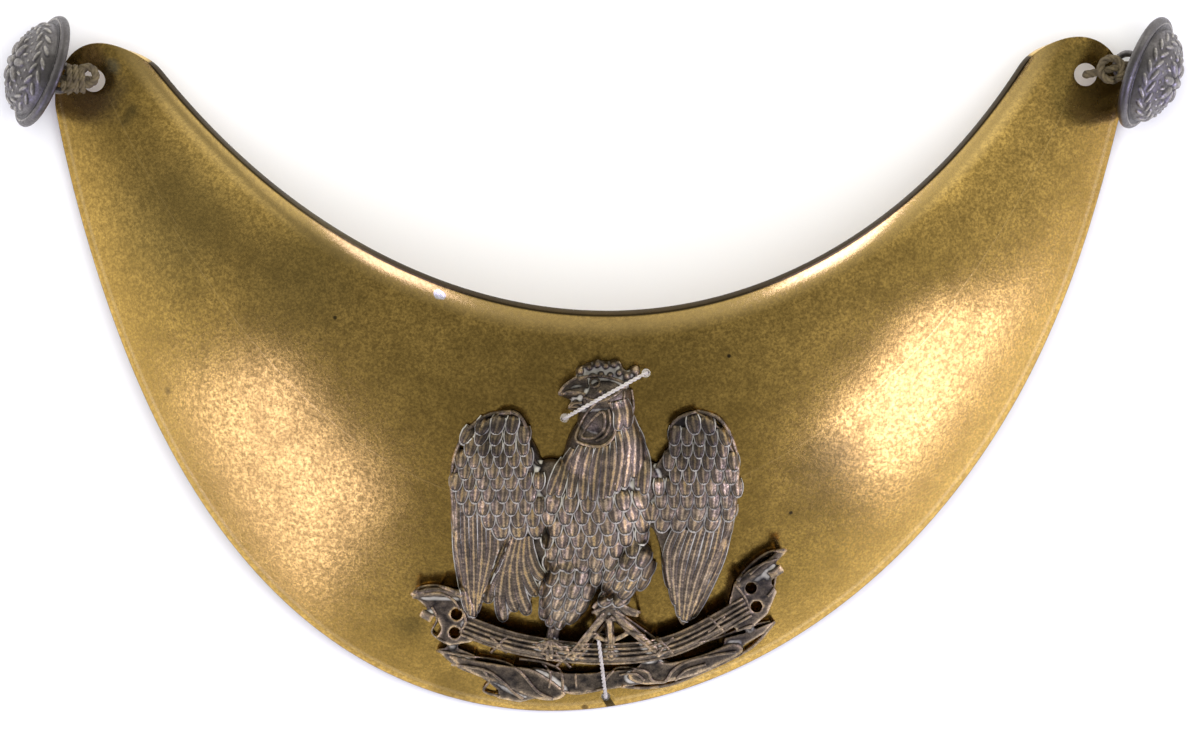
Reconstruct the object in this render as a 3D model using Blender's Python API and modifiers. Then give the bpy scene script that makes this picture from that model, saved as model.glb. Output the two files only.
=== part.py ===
"""Gorget of a civic guard, lying on its back.

A domed crescent of sheet brass carries a cast cockerel emblem, held by two threads, and a uniform
button is laced to each horn. Seen from above, +X runs to the right horn, +Y from the belly edge to
the horns, and +Z up from the floor. The frame's origin is on the floor, under the middle of it all.
"""

import math
from collections import namedtuple

import bmesh
import bpy
from mathutils import Matrix, Vector

MM = 0.001
FIT_GAP = 0.3 * MM

# Plate outline: a neck ellipse and a belly ellipse, both standing and leaning, cut off by round
# horns; the belly edge was cut by hand, so it wanders from its ellipse by a sway and a swell
PLATE_BREADTH = 51.8 * MM
NECK_HALF_WIDTH = 79.7 * MM
NECK_HALF_LENGTH = 111.5 * MM
NECK_OFFSET = -7.4 * MM
NECK_LEAN = math.radians(8.7)
BELLY_HALF_WIDTH = 72.4 * MM
BELLY_HALF_LENGTH = 111.2 * MM
BELLY_OFFSET = 4.5 * MM
BELLY_LEAN = math.radians(-14.5)
BELLY_LOW = 0.6 * MM
BELLY_SWAY = 3.3 * MM
BELLY_SWELL = 1.3 * MM
FAN_HEIGHT = 105.5 * MM
HORN_ANGLE = math.radians(74.6)
HORN_ROUNDING = 6.6 * MM

# Plate form: how far the dome and its edge stand above the floor, and the turned neck rim
PLATE_WALL = 0.9 * MM
CROWN_RISE = 24.0 * MM
HORN_RISE = 3.6 * MM
BELLY_FULLNESS = 1.9
HORN_LIFT = 2.0 * MM
SIDE_LIFT = 3.0 * MM
RIM_WIDTH = 3.8 * MM
RIM_WIDTH_AT_HORN = 1.6 * MM
RIM_RISE = 1.5 * MM
BODY_COLUMNS = 34
HORN_COLUMNS = 5
RIM_ROWS = 4
BODY_ROWS = 8

# Emblem: its tables hold hundredths of the span, and shares of the relief's height; its foot, also
# in hundredths, stands a set way up from the belly's lowest line
EMBLEM_SPAN = 48.5 * MM
EMBLEM_RELIEF = 4.4 * MM
EMBLEM_FROM_BELLY = 1.0 * MM
EMBLEM_FOOT = -48.0
EMBLEM_OFFSET = -0.3 * MM
EMBLEM_CELL = 7.0 * MM
AXE_HOLE_DIAMETER = 1.4 * MM
ROD_DIAMETER = 1.0 * MM
ROD_SPACING = 0.75 * MM
BINDING_DIAMETER = 0.7 * MM
LEVEL_BAR_DIAMETER = 1.1 * MM
PLUMB_DIAMETER = 0.6 * MM
BOB_DIAMETER = 1.5 * MM
SHANK_DIAMETER = 1.9 * MM
TOE_DIAMETER = 1.1 * MM

# Threads that tie the emblem on
TIE_DIAMETER = 0.55 * MM

# Buttons: a domed front crimped over a flat back with a wire eye
BUTTON_DIAMETER = 15.3 * MM
BUTTON_DOME = 4.8 * MM
BUTTON_WALL = 0.5 * MM
CRIMP_HEIGHT = 1.2 * MM
CRIMP_WIDTH = 1.55 * MM
CRIMP_LIP = 0.3 * MM
BUTTON_TILT = math.radians(17.0)
EYE_RADIUS = 1.7 * MM
EYE_WIRE = 0.9 * MM
EYE_DEPTH = 2.5 * MM
BUTTON_SIDES = 16

# Laces and the horn holes that they pass
LACE_DIAMETER = 1.1 * MM
LACE_HOLE_DIAMETER = 3.0 * MM
HOLE_FROM_TIP = 4.7 * MM
HOLE_SHARE = 0.575
KNOT_LENGTH = 4.0 * MM
KNOT_HEIGHT = 2.6 * MM

Ellipse = namedtuple("Ellipse", "centre half_width half_length lean")
Outline = namedtuple("Outline", "name height smooth points")
Lump = namedtuple("Lump", "name across along half_width half_length turn height")
Bar = namedtuple("Bar", "name size height points")
Tie = namedtuple("Tie", "name start end height")
Side = namedtuple("Side", "name hand reach rise facing")

# Flat parts of the casting, as outlines; the wing and tail tips are stepped as their feathers are
OUTLINES = (
    Outline("left_wing", 0.36, True, (
        (-25, 31), (-31, 27.5), (-35.5, 21.5), (-39, 13.5), (-39, 4), (-36.5, -7), (-34.5, -17),
        (-33, -24.5), (-30.5, -20), (-28, -11), (-26, -5), (-23, -1.5), (-15, -1.5), (-13, 8),
        (-14, 15), (-17.5, 19), (-18.5, 26), (-21, 30.5))),
    Outline("left_coverts", 0.52, True, (
        (-25, 30), (-31, 26), (-35, 20.5), (-37.5, 12), (-37, 5), (-31, 7), (-28, 1.5), (-23, 3.5),
        (-19, -0.5), (-15.5, 4), (-16, 14), (-19, 20), (-20, 26))),
    Outline("right_wing", 0.36, True, (
        (25, 31), (31, 28), (35.5, 22), (37.5, 15), (37, 5), (34, -5), (29.5, -15), (25.5, -22.5),
        (21.5, -26.5), (19.5, -19), (17.5, -9), (15, -1), (12, 2), (12, 10), (16.5, 18), (19, 22),
        (20, 28))),
    Outline("right_coverts", 0.52, True, (
        (25, 30), (31, 26.5), (34.5, 20), (35.5, 12), (33, 6), (29, 8.5), (26.5, 3.5), (22.5, 5),
        (19, 0.5), (15.5, 4), (14.5, 11), (18, 18), (20.5, 24))),
    Outline("tail", 0.34, True, (
        (-21, -1), (-25.5, -8), (-29.5, -18.5), (-26.5, -18), (-25.5, -26), (-22, -21.5),
        (-19.5, -24.5), (-17, -17), (-13, -12.5), (-13, -5), (-15.5, -1))),
    Outline("comb", 0.62, True, (
        (-5.5, 41), (-4.5, 44.5), (-1.5, 43.5), (0, 46.5), (3, 44), (5.5, 46), (7, 42.5),
        (11, 43.5), (9.5, 38.5), (4, 36.5), (-3, 37.5))),
    Outline("left_axe", 0.5, False, (
        (-50, -18.5), (-46, -16), (-41, -16.5), (-36.5, -16.5), (-33.5, -21.5), (-34, -31),
        (-40, -32), (-44.5, -30), (-42, -27.5), (-43.5, -24), (-48, -22.5))),
    Outline("right_axe", 0.5, False, (
        (50, -6), (46, -9.5), (40.5, -11.5), (36.5, -14), (34.5, -21), (37, -28), (41, -27.5),
        (46, -23.5), (48.5, -17.5), (46, -15), (46, -12.5), (49.5, -11.5))),
    Outline("ribbon_left_tail", 0.3, False, (
        (-44, -33.5), (-38.5, -31.5), (-33, -34), (-33, -41), (-37, -39.5), (-40, -37))),
    Outline("ribbon_left", 0.42, True, (
        (-40, -34.5), (-33, -35), (-24, -37.5), (-14, -39.5), (-9, -42), (-13, -46.5),
        (-18, -46), (-26, -42.5), (-34, -39.5))),
    Outline("ribbon_left_fold", 0.3, False, (
        (-32, -40), (-24, -42), (-16, -46), (-22, -47), (-29, -45.5))),
    Outline("ribbon_middle", 0.26, True, (
        (-16, -39), (-8, -40.5), (2, -40), (10, -38), (18, -36), (21, -40), (12, -42.5),
        (2, -44.5), (-8, -45.5), (-16, -45.5))),
    Outline("ribbon_right", 0.42, True, (
        (12, -37), (20, -36.5), (28, -34.5), (36, -31.5), (39, -33.5), (34, -36.5), (26, -40),
        (18, -42), (12, -42.5), (8, -40.5))),
    Outline("ribbon_right_tail", 0.3, False, (
        (34, -30), (40, -27.5), (47.5, -25), (45.5, -28.5), (46, -31), (41, -32.5), (37.5, -35),
        (33, -35.5))),
)

# Rounded parts of the casting, as flattened balls
LUMPS = (
    Lump("breast", -0.5, 3.5, 13.5, 16.0, 8, 1.0),
    Lump("belly", -1.5, -8.0, 12.5, 12.0, 0, 0.92),
    Lump("neck", 1.5, 18.0, 11.5, 14.0, -6, 0.92),
    Lump("throat", 2.0, 28.0, 8.0, 9.5, -4, 0.86),
    Lump("head", 0.8, 34.0, 8.2, 6.8, 10, 0.84),
    Lump("beak", -7.3, 36.0, 4.2, 2.1, 12, 0.6),
    Lump("lower_beak", -6.0, 33.0, 3.2, 1.3, 24, 0.45),
    Lump("wattle", -4.2, 26.5, 2.3, 5.0, 8, 0.72),
    Lump("left_shoulder", -12.0, 12.0, 5.5, 6.5, 20, 0.66),
    Lump("right_shoulder", 12.0, 11.0, 5.0, 7.0, -20, 0.66),
    Lump("left_thigh", -7.8, -18.0, 6.6, 9.5, -24, 0.82),
    Lump("right_thigh", 8.5, -12.5, 6.6, 7.5, 30, 0.78),
    Lump("right_knuckle", 5.5, -22.0, 4.6, 3.2, 10, 0.5),
)

# Slender parts of the casting, as round bars: legs, toes and the level with its plumb line
BARS = (
    Bar("left_shank", SHANK_DIAMETER, 0.32, ((-11.0, -24.0), (-12.8, -31.5))),
    Bar("left_toe_inner", TOE_DIAMETER, 0.5, ((-12.5, -31.5), (-9.0, -33.5))),
    Bar("left_toe_middle", TOE_DIAMETER, 0.5, ((-12.5, -31.5), (-13.0, -36.5))),
    Bar("left_toe_outer", TOE_DIAMETER, 0.5, ((-12.5, -31.5), (-16.5, -32.5))),
    Bar("right_shank", SHANK_DIAMETER, 0.36, ((9.5, -15.5), (5.5, -22.5))),
    Bar("right_toe_inner", TOE_DIAMETER, 0.42, ((5.5, -21.5), (0.5, -24.5))),
    Bar("right_toe_middle", TOE_DIAMETER, 0.46, ((5.5, -21.5), (5.0, -27.0))),
    Bar("right_toe_outer", TOE_DIAMETER, 0.42, ((5.5, -21.5), (11.0, -25.5))),
    Bar("level_left_leg", LEVEL_BAR_DIAMETER, 0.5, ((3.2, -22.0), (-8.0, -36.0))),
    Bar("level_right_leg", LEVEL_BAR_DIAMETER, 0.5, ((3.2, -22.0), (17.5, -34.5))),
    Bar("level_cross_bar", PLUMB_DIAMETER, 0.5, ((-2.0, -28.5), (10.0, -28.5))),
    Bar("plumb_line", PLUMB_DIAMETER, 0.52, ((3.2, -24.0), (3.6, -34.0))),
)

# Fasces: the sagging line of the bundle, and where its crossed ribbons bind it
FASCES_SAG = ((-37.0, -27.5), (-21.0, -32.0), (0.0, -33.8), (20.0, -31.5), (41.0, -21.0))
FASCES_RODS = 3
FASCES_HEIGHT = 0.34
BINDING_PLACES = (0.12, 0.28, 0.66, 0.86)
AXE_HOLES = ((-38.0, -23.5), (-38.5, -28.5), (41.0, -16.5), (42.5, -21.5))

TIES = (
    Tie("tie_upper", (-9.0, 29.2), (12.8, 41.2), 0.93),
    Tie("tie_lower", (0.0, -29.5), (2.0, -45.8), 0.6),
)
# A thread's rise over the casting: how far along it is, and how much of its full height it has
TIE_RISE = ((0.0, 0.4), (0.1, 0.8), (0.3, 0.95), (0.5, 1.0), (0.75, 0.93), (0.94, 0.82), (1.0, 0.55))

# Each button's reach from the horn's edge, and its rise from the hole, are shares of its diameter
SIDES = (
    Side("left", -1, 0.06, 0.075, math.radians(160.0)),
    Side("right", 1, 0.126, 0.015, math.radians(-20.0)),
)


def make_collection(name):
    """Return a new collection, linked to the scene."""
    collection = bpy.data.collections.new(name)
    bpy.context.scene.collection.children.link(collection)
    return collection


def make_material(name, colour, roughness, metallic):
    """Return a plain Principled material."""
    material = bpy.data.materials.new(name)
    material.use_nodes = True
    shader = material.node_tree.nodes["Principled BSDF"]
    shader.inputs["Base Color"].default_value = (*colour, 1.0)
    shader.inputs["Roughness"].default_value = roughness
    shader.inputs["Metallic"].default_value = metallic
    return material


def place_mesh(name, mesh, collection):
    """Return a new object that shows the mesh."""
    piece = bpy.data.objects.new(name, mesh)
    collection.objects.link(piece)
    return piece


def finish(piece, material):
    """Give a piece its material and smooth its round faces."""
    piece.data.materials.clear()
    piece.data.materials.append(material)
    piece.data.shade_smooth()
    piece.data.set_sharp_from_angle(angle=math.radians(35.0))
    return piece


def evaluated_mesh(piece):
    """Return a copy of the piece's mesh with its modifiers applied and its seams welded."""
    graph = bpy.context.evaluated_depsgraph_get()
    mesh = bpy.data.meshes.new_from_object(piece.evaluated_get(graph))
    shape = bmesh.new()
    shape.from_mesh(mesh)
    bmesh.ops.remove_doubles(shape, verts=shape.verts, dist=0.0001 * MM)
    shape.to_mesh(mesh)
    shape.free()
    return mesh


def smooth_loop(points, steps, closed=True):
    """Return a curve through the points, with the given number of steps to each side."""
    count = len(points)
    sides = count if closed else count - 1
    curve = []
    for side in range(sides):
        around = [side - 1, side, side + 1, side + 2]
        if closed:
            around = [index % count for index in around]
        else:
            around = [min(max(index, 0), count - 1) for index in around]
        before, start, end, after = (Vector(points[index]) for index in around)
        for step in range(steps):
            t = step / steps
            curve.append(0.5 * (2 * start + (end - before) * t
                                + (2 * before - 5 * start + 4 * end - after) * t ** 2
                                + (3 * start - before - 3 * end + after) * t ** 3))
    if not closed:
        curve.append(Vector(points[-1]))
    return curve


def make_slab(name, outline, low, high, collection):
    """Return a flat solid of the outline, between two heights."""
    drawing = bpy.data.curves.new(name, "CURVE")
    drawing.dimensions = "2D"
    drawing.fill_mode = "BOTH"
    drawing.extrude = (high - low) / 2
    spline = drawing.splines.new("POLY")
    spline.points.add(len(outline) - 1)
    for point, corner in zip(spline.points, outline):
        point.co = (corner[0], corner[1], 0.0, 1.0)
    spline.use_cyclic_u = True
    sketch = place_mesh(name, drawing, collection)
    mesh = evaluated_mesh(sketch)
    bpy.data.objects.remove(sketch)
    mesh.transform(Matrix.Translation((0.0, 0.0, (low + high) / 2)))
    return place_mesh(name, mesh, collection)


def make_tube(name, route, diameter, collection, closed=False, roundness=1):
    """Return a round tube along the route, as a mesh with filled ends."""
    line = bpy.data.curves.new(name, "CURVE")
    line.dimensions = "3D"
    line.bevel_depth = diameter / 2
    line.bevel_resolution = roundness
    line.use_fill_caps = True
    spline = line.splines.new("POLY")
    spline.points.add(len(route) - 1)
    for point, place in zip(spline.points, route):
        point.co = (*place, 1.0)
    spline.use_cyclic_u = closed
    tube = place_mesh(name, line, collection)
    mesh = evaluated_mesh(tube)
    bpy.data.objects.remove(tube)
    return place_mesh(name, mesh, collection)


def make_ball(name, centre, radii, turn, collection, segments=12, rings=6):
    """Return a ball, stretched to three radii and turned about the vertical."""
    shape = bmesh.new()
    bmesh.ops.create_uvsphere(shape, u_segments=segments, v_segments=rings, radius=1.0)
    placing = Matrix.Translation(centre) @ Matrix.Rotation(turn, 4, "Z") @ Matrix.Diagonal((*radii, 1.0))
    bmesh.ops.transform(shape, matrix=placing, verts=shape.verts)
    mesh = bpy.data.meshes.new(name)
    shape.to_mesh(mesh)
    shape.free()
    return place_mesh(name, mesh, collection)


def make_pin(name, base, top, diameter, collection, sides=16):
    """Return an upright round pin between two heights at the base point."""
    shape = bmesh.new()
    bmesh.ops.create_cone(shape, cap_ends=True, segments=sides, radius1=diameter / 2,
                          radius2=diameter / 2, depth=top - base.z)
    middle = Vector((base.x, base.y, (top + base.z) / 2))
    bmesh.ops.translate(shape, verts=shape.verts, vec=middle)
    mesh = bpy.data.meshes.new(name)
    shape.to_mesh(mesh)
    shape.free()
    return place_mesh(name, mesh, collection)


def hide_cutter(cutter):
    """Keep a cutter out of the picture."""
    cutter.hide_render = True
    cutter.display_type = "WIRE"


def add_boolean(piece, other, operation, crossing=False):
    """Unite a piece with another solid, or cut it by one; crossing is for parts that cross themselves."""
    boolean = piece.modifiers.new(operation.lower(), "BOOLEAN")
    boolean.operation = operation
    boolean.object = other
    boolean.solver = "EXACT"
    boolean.use_self = crossing


def fuse(name, solids, collection, cutters=(), keep=None):
    """Return one piece: the solids united, less the cutters, and only what lies inside keep."""
    steps = [(solid, "UNION") for solid in solids[1:]]
    steps += [(cutter, "DIFFERENCE") for cutter in cutters]
    steps += [(keep, "INTERSECT")] if keep else []
    body = place_mesh(name, evaluated_mesh(solids[0]), collection)
    for other, operation in steps:
        add_boolean(body, other, operation, crossing=True)
        mesh = evaluated_mesh(body)
        body.modifiers.clear()
        body.data = mesh
        bpy.data.objects.remove(other)
    bpy.data.objects.remove(solids[0])
    return body


# Plate

def standing_ellipse(low, offset, half_width, half_length, lean):
    """Return the ellipse whose lowest point is at the given height."""
    reach = math.hypot(half_length * math.cos(lean), half_width * math.sin(lean))
    return Ellipse(Vector((offset, low + reach)), half_width, half_length, lean)


BELLY = standing_ellipse(BELLY_LOW, BELLY_OFFSET, BELLY_HALF_WIDTH, BELLY_HALF_LENGTH, BELLY_LEAN)
NECK = standing_ellipse(PLATE_BREADTH, NECK_OFFSET, NECK_HALF_WIDTH, NECK_HALF_LENGTH, NECK_LEAN)
FAN = Vector((0.0, FAN_HEIGHT))


def ray_to_ellipse(angle, ellipse):
    """Return how far the ellipse is from the fan's centre, at an angle from straight down."""
    turn = Matrix.Rotation(-ellipse.lean, 2)
    start = turn @ (FAN - ellipse.centre)
    heading = turn @ Vector((math.sin(angle), -math.cos(angle)))
    start = Vector((start.x / ellipse.half_width, start.y / ellipse.half_length))
    heading = Vector((heading.x / ellipse.half_width, heading.y / ellipse.half_length))
    along = start.dot(heading)
    root = math.sqrt(max(along ** 2 - heading.length_squared * (start.length_squared - 1.0), 0.0))
    return (root - along) / heading.length_squared


def neck_reach(angle):
    """Return how far the neck edge is from the fan's centre."""
    return ray_to_ellipse(angle, NECK)


def belly_reach(angle):
    """Return how far the belly edge is from the fan's centre."""
    wander = BELLY_SWAY * math.sin(3 * angle) + BELLY_SWELL * math.cos(3 * angle)
    return ray_to_ellipse(angle, BELLY) + wander


def horn_reach(hand):
    """Return how far a horn's middle is from the fan's centre."""
    tip = hand * HORN_ANGLE
    return (neck_reach(tip) + belly_reach(tip)) / 2


def front_height(angle, share, width):
    """Return the front surface's height, at a share of the way from the neck to the belly edge."""
    turn = min(abs(angle) / HORN_ANGLE, 1.0)
    slope = CROWN_RISE * BELLY_FULLNESS / PLATE_BREADTH
    edge = PLATE_WALL * math.cos(math.atan(slope))
    edge += HORN_LIFT * turn ** 2 + SIDE_LIFT * math.sin(math.pi * turn) ** 2
    crown = HORN_RISE + (CROWN_RISE - HORN_RISE) * math.cos(turn * math.pi / 2) ** 1.4
    dome = crown * (1.0 - max(share, 0.0) ** BELLY_FULLNESS)
    rim_width = RIM_WIDTH + (RIM_WIDTH_AT_HORN - RIM_WIDTH) * turn
    rim_share = min(max(share * width / rim_width, 0.0), 1.0)
    rim = RIM_RISE * rim_width / RIM_WIDTH * (1.0 - rim_share) ** 2
    return edge + dome + rim


def front_point(angle, share):
    """Return the point of the plate's front at a fan angle and a share of its breadth."""
    near = neck_reach(angle)
    width = belly_reach(angle) - near
    reach = near + share * width
    return Vector((FAN.x + reach * math.sin(angle), FAN.y - reach * math.cos(angle),
                   front_height(angle, share, width)))


def fan_place(x, y):
    """Return a place's fan angle, its share of the breadth, and the breadth there."""
    angle = math.atan2(x - FAN.x, FAN.y - y)
    near = neck_reach(angle)
    width = belly_reach(angle) - near
    return angle, (math.hypot(x - FAN.x, FAN.y - y) - near) / width, width


def height_above(x, y):
    """Return the height of the plate's front above a place on the floor."""
    return front_height(*fan_place(x, y))


def plate_columns():
    """List each column's angle and how much of the breadth it keeps, horn to horn."""
    columns = []
    for hand in (-1, 1):
        rounding = HORN_ROUNDING / horn_reach(hand)
        side = []
        for step in range(1, HORN_COLUMNS + 1):
            turn = step / HORN_COLUMNS * math.pi / 2
            side.append((hand * (HORN_ANGLE - rounding * (1.0 - math.sin(turn))), math.cos(turn)))
        columns.append(side)
    left = HORN_ROUNDING / horn_reach(-1) - HORN_ANGLE
    right = HORN_ANGLE - HORN_ROUNDING / horn_reach(1)
    body = [(left + (right - left) * step / BODY_COLUMNS, 1.0) for step in range(BODY_COLUMNS + 1)]
    return columns[0][::-1] + body + columns[1]


def row_share(row, angle):
    """Return the share of the breadth at a row: fine rows on the rim, even rows on the dome."""
    turn = min(abs(angle) / HORN_ANGLE, 1.0)
    rim_width = RIM_WIDTH + (RIM_WIDTH_AT_HORN - RIM_WIDTH) * turn
    rim = rim_width / (belly_reach(angle) - neck_reach(angle))
    if row <= RIM_ROWS:
        return rim * row / RIM_ROWS
    return rim + (1.0 - rim) * (row - RIM_ROWS) / BODY_ROWS


def build_plate(collection, cutters, material):
    """Build the crescent from a grid laid along the fan, thickened and pierced."""
    columns = plate_columns()
    rows = RIM_ROWS + BODY_ROWS
    sheet = bmesh.new()
    bmesh.ops.create_grid(sheet, x_segments=len(columns) - 1, y_segments=rows, size=0.5)
    for vertex in sheet.verts:
        angle, kept = columns[round((vertex.co.x + 0.5) * (len(columns) - 1))]
        share = row_share(round((0.5 - vertex.co.y) * rows), angle)
        vertex.co = front_point(angle, 0.5 + (share - 0.5) * kept)
    bmesh.ops.remove_doubles(sheet, verts=sheet.verts, dist=0.01 * MM)
    mesh = bpy.data.meshes.new("plate")
    sheet.to_mesh(mesh)
    sheet.free()
    plate = place_mesh("plate", mesh, collection)
    wall = plate.modifiers.new("wall", "SOLIDIFY")
    wall.thickness = PLATE_WALL
    wall.offset = -1.0
    wall.use_even_offset = True
    for cutter in cutters:
        add_boolean(plate, cutter, "DIFFERENCE")
    return finish(plate, material)


# Emblem

def emblem_place(across, along):
    """Return a place on the floor from hundredths of the emblem's span."""
    return Vector((EMBLEM_OFFSET + across * EMBLEM_SPAN / 100,
                   EMBLEM_FROM_BELLY + (along - EMBLEM_FOOT) * EMBLEM_SPAN / 100))


def emblem_route(points, height, steps=1):
    """Return a flat route through places of the emblem, at one height."""
    places = [emblem_place(*point) for point in points]
    if steps > 1:
        places = smooth_loop(places, steps, closed=False)
    return [Vector((place.x, place.y, height)) for place in places]


def build_fasces(collection):
    """Return the sagging rods of the bundle and the ribbons that bind it."""
    solids = []
    line = emblem_route(FASCES_SAG, FASCES_HEIGHT * EMBLEM_RELIEF, steps=3)
    for rod in range(FASCES_RODS):
        shift = (rod - (FASCES_RODS - 1) / 2) * ROD_SPACING
        lift = 0.25 * ROD_DIAMETER if rod == FASCES_RODS // 2 else 0.0
        route = [point + Vector((0.0, shift, lift)) for point in line]
        solids.append(make_tube("fasces_rod", route, ROD_DIAMETER, collection))
    half_width = (FASCES_RODS - 1) / 2 * ROD_SPACING + ROD_DIAMETER / 2
    for place in BINDING_PLACES:
        middle = line[round(place * (len(line) - 1))] + Vector((0.0, 0.0, 0.4 * ROD_DIAMETER))
        for lean in (-1, 1):
            reach = Vector((lean * 0.9 * half_width, half_width, 0.0))
            solids.append(make_tube("fasces_binding", [middle - reach, middle + reach],
                                    BINDING_DIAMETER, collection))
    return solids


def build_emblem_solids(collection):
    """Return every raised part of the casting, still flat and separate."""
    solids = []
    for lump in LUMPS:
        centre = emblem_place(lump.across, lump.along)
        radii = (lump.half_width * EMBLEM_SPAN / 100, lump.half_length * EMBLEM_SPAN / 100,
                 lump.height * EMBLEM_RELIEF)
        solids.append(make_ball(lump.name, (centre.x, centre.y, 0.0), radii, math.radians(lump.turn),
                                collection))
    for index, outline in enumerate(OUTLINES):
        points = [emblem_place(*point) for point in outline.points]
        if outline.smooth:
            points = smooth_loop(points, 2)
        sink = -(0.2 + 0.01 * index) * EMBLEM_RELIEF
        solids.append(make_slab(outline.name, points, sink, outline.height * EMBLEM_RELIEF,
                                collection))
    for bar in BARS:
        route = emblem_route(bar.points, bar.height * EMBLEM_RELIEF)
        solids.append(make_tube(bar.name, route, bar.size, collection))
    bob = emblem_place(3.6, -34.5)
    solids.append(make_ball("plumb_bob", (bob.x, bob.y, 0.4 * EMBLEM_RELIEF),
                            (BOB_DIAMETER / 2,) * 3, 0.0, collection, segments=8, rings=6))
    return solids + build_fasces(collection)


def lay_on_plate(mesh, cell):
    """Cut a flat casting into cells, and raise each corner by the height of the plate below it."""
    shape = bmesh.new()
    shape.from_mesh(mesh)
    for axis in (0, 1):
        lows = [vertex.co[axis] for vertex in shape.verts]
        normal = Vector((1.0 - axis, axis, 0.0))
        for step in range(1, math.ceil((max(lows) - min(lows)) / cell)):
            cut = normal * (min(lows) + step * cell)
            bmesh.ops.bisect_plane(shape, geom=[*shape.verts, *shape.edges, *shape.faces],
                                   plane_co=cut, plane_no=normal, dist=0.0001 * MM)
    for vertex in shape.verts:
        vertex.co.z += height_above(vertex.co.x, vertex.co.y) + FIT_GAP
    shape.to_mesh(mesh)
    shape.free()


def build_emblem(collection, material):
    """Build the cockerel, fasces, level and ribbon as one casting that follows the plate."""
    solids = build_emblem_solids(collection)
    holes = []
    for place in AXE_HOLES:
        centre = emblem_place(*place)
        holes.append(make_pin("axe_hole", Vector((centre.x, centre.y, -EMBLEM_RELIEF)),
                              EMBLEM_RELIEF, AXE_HOLE_DIAMETER, collection, sides=10))
    corner = EMBLEM_SPAN * 0.6
    middle = emblem_place(0.0, 0.0)
    frame = [middle + Vector(side) * corner for side in ((-1, -1), (1, -1), (1, 1), (-1, 1))]
    above = make_slab("above_plate", frame, 0.0, 2 * EMBLEM_RELIEF, collection)
    emblem = fuse("emblem", solids, collection, holes, keep=above)
    lay_on_plate(emblem.data, EMBLEM_CELL)
    return finish(emblem, material)


# Threads

def build_tie(tie, collection, material):
    """Build one thread: a closed loop over the casting, through two holes and under the plate."""
    start = emblem_place(*tie.start)
    end = emblem_place(*tie.end)
    over = tie.height * EMBLEM_RELIEF + FIT_GAP + TIE_DIAMETER / 2
    under = -1.25 * PLATE_WALL - FIT_GAP - TIE_DIAMETER / 2
    corners = [(0.0, under), (0.0, 0.0)]
    corners += [(share, rise * over) for share, rise in TIE_RISE]
    corners += [(1.0, 0.0), (1.0, under), (0.75, under), (0.5, under), (0.25, under)]
    route = []
    for share, lift in corners:
        place = start.lerp(end, share)
        route.append((place.x, place.y, height_above(place.x, place.y) + lift))
    loop = smooth_loop(route, 2)
    return finish(make_tube(tie.name, loop, TIE_DIAMETER, collection, closed=True), material)


def tie_hole_cutters(collection):
    """Return the pins that pierce the plate for the threads."""
    cutters = []
    for tie in TIES:
        for index, place in enumerate((tie.start, tie.end)):
            centre = emblem_place(*place)
            top = height_above(centre.x, centre.y) + 3 * PLATE_WALL
            base = Vector((centre.x, centre.y, top - 8 * PLATE_WALL))
            cutters.append(make_pin(f"{tie.name}_hole_{index + 1}", base, top,
                                    TIE_DIAMETER + 2 * FIT_GAP, collection, sides=12))
    return cutters


# Buttons and laces

def lace_hole(hand):
    """Return the middle of a horn's hole, on the plate's front."""
    return front_point(hand * (HORN_ANGLE - HOLE_FROM_TIP / horn_reach(hand)), HOLE_SHARE)


def lace_hole_cutter(side, collection):
    """Return the pin that pierces one horn."""
    centre = lace_hole(side.hand)
    base = Vector((centre.x, centre.y, centre.z - 4 * PLATE_WALL))
    return make_pin(f"lace_hole_{side.name}", base, centre.z + 3 * PLATE_WALL,
                    LACE_HOLE_DIAMETER, collection, sides=20)


def belly_edge_towards(start, heading):
    """Return the point of the belly edge that lies in a direction from a point of the plate."""
    near, far = 0.0, 2 * HORN_ROUNDING
    for _ in range(20):
        middle = (near + far) / 2
        place = start + heading * middle
        if fan_place(place.x, place.y)[1] < 1.0:
            near = middle
        else:
            far = middle
    edge = start + heading * far
    return Vector((edge.x, edge.y, height_above(edge.x, edge.y)))


def button_frame(side):
    """Return the placing of a button, which stands on its rim with its face turned outwards."""
    level = Vector((math.cos(side.facing), math.sin(side.facing), 0.0))
    face = level * math.cos(BUTTON_TILT) + Vector((0.0, 0.0, math.sin(BUTTON_TILT)))
    upright = (Vector((0.0, 0.0, 1.0)) - face * face.z).normalized()
    across = upright.cross(face)
    hole = lace_hole(side.hand)
    edge = belly_edge_towards(hole, Vector((side.hand, 0.0, 0.0)))
    lowest = BUTTON_DIAMETER / 2 * math.cos(BUTTON_TILT) + CRIMP_HEIGHT / 2 * math.sin(BUTTON_TILT)
    middle = Vector((edge.x + side.hand * side.reach * BUTTON_DIAMETER,
                     hole.y + side.rise * BUTTON_DIAMETER, lowest))
    turned = Matrix((across, upright, face)).transposed()
    return Matrix.Translation(middle) @ turned.to_4x4()


def turn_profile(name, profile, collection):
    """Return a turned solid from a profile of radii and heights, run from top to bottom."""
    mesh = bpy.data.meshes.new(name)
    sketch = bmesh.new()
    corners = [sketch.verts.new((radius, 0.0, height)) for radius, height in profile]
    for start, end in zip(corners, corners[1:]):
        sketch.edges.new((start, end))
    sketch.to_mesh(mesh)
    sketch.free()
    turned = place_mesh(name, mesh, collection)
    screw = turned.modifiers.new("turning", "SCREW")
    screw.steps = BUTTON_SIDES
    screw.render_steps = BUTTON_SIDES
    screw.use_merge_vertices = True
    screw.merge_threshold = 0.01 * MM
    return turned


def dome_arc(radius, low, high, steps=4):
    """Return a dome's outer line, from its crown down to its foot."""
    arc = []
    for step in range(steps + 1):
        turn = step / steps * math.pi / 2
        arc.append((radius * math.sin(turn), low + (high - low) * math.cos(turn)))
    return arc


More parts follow.
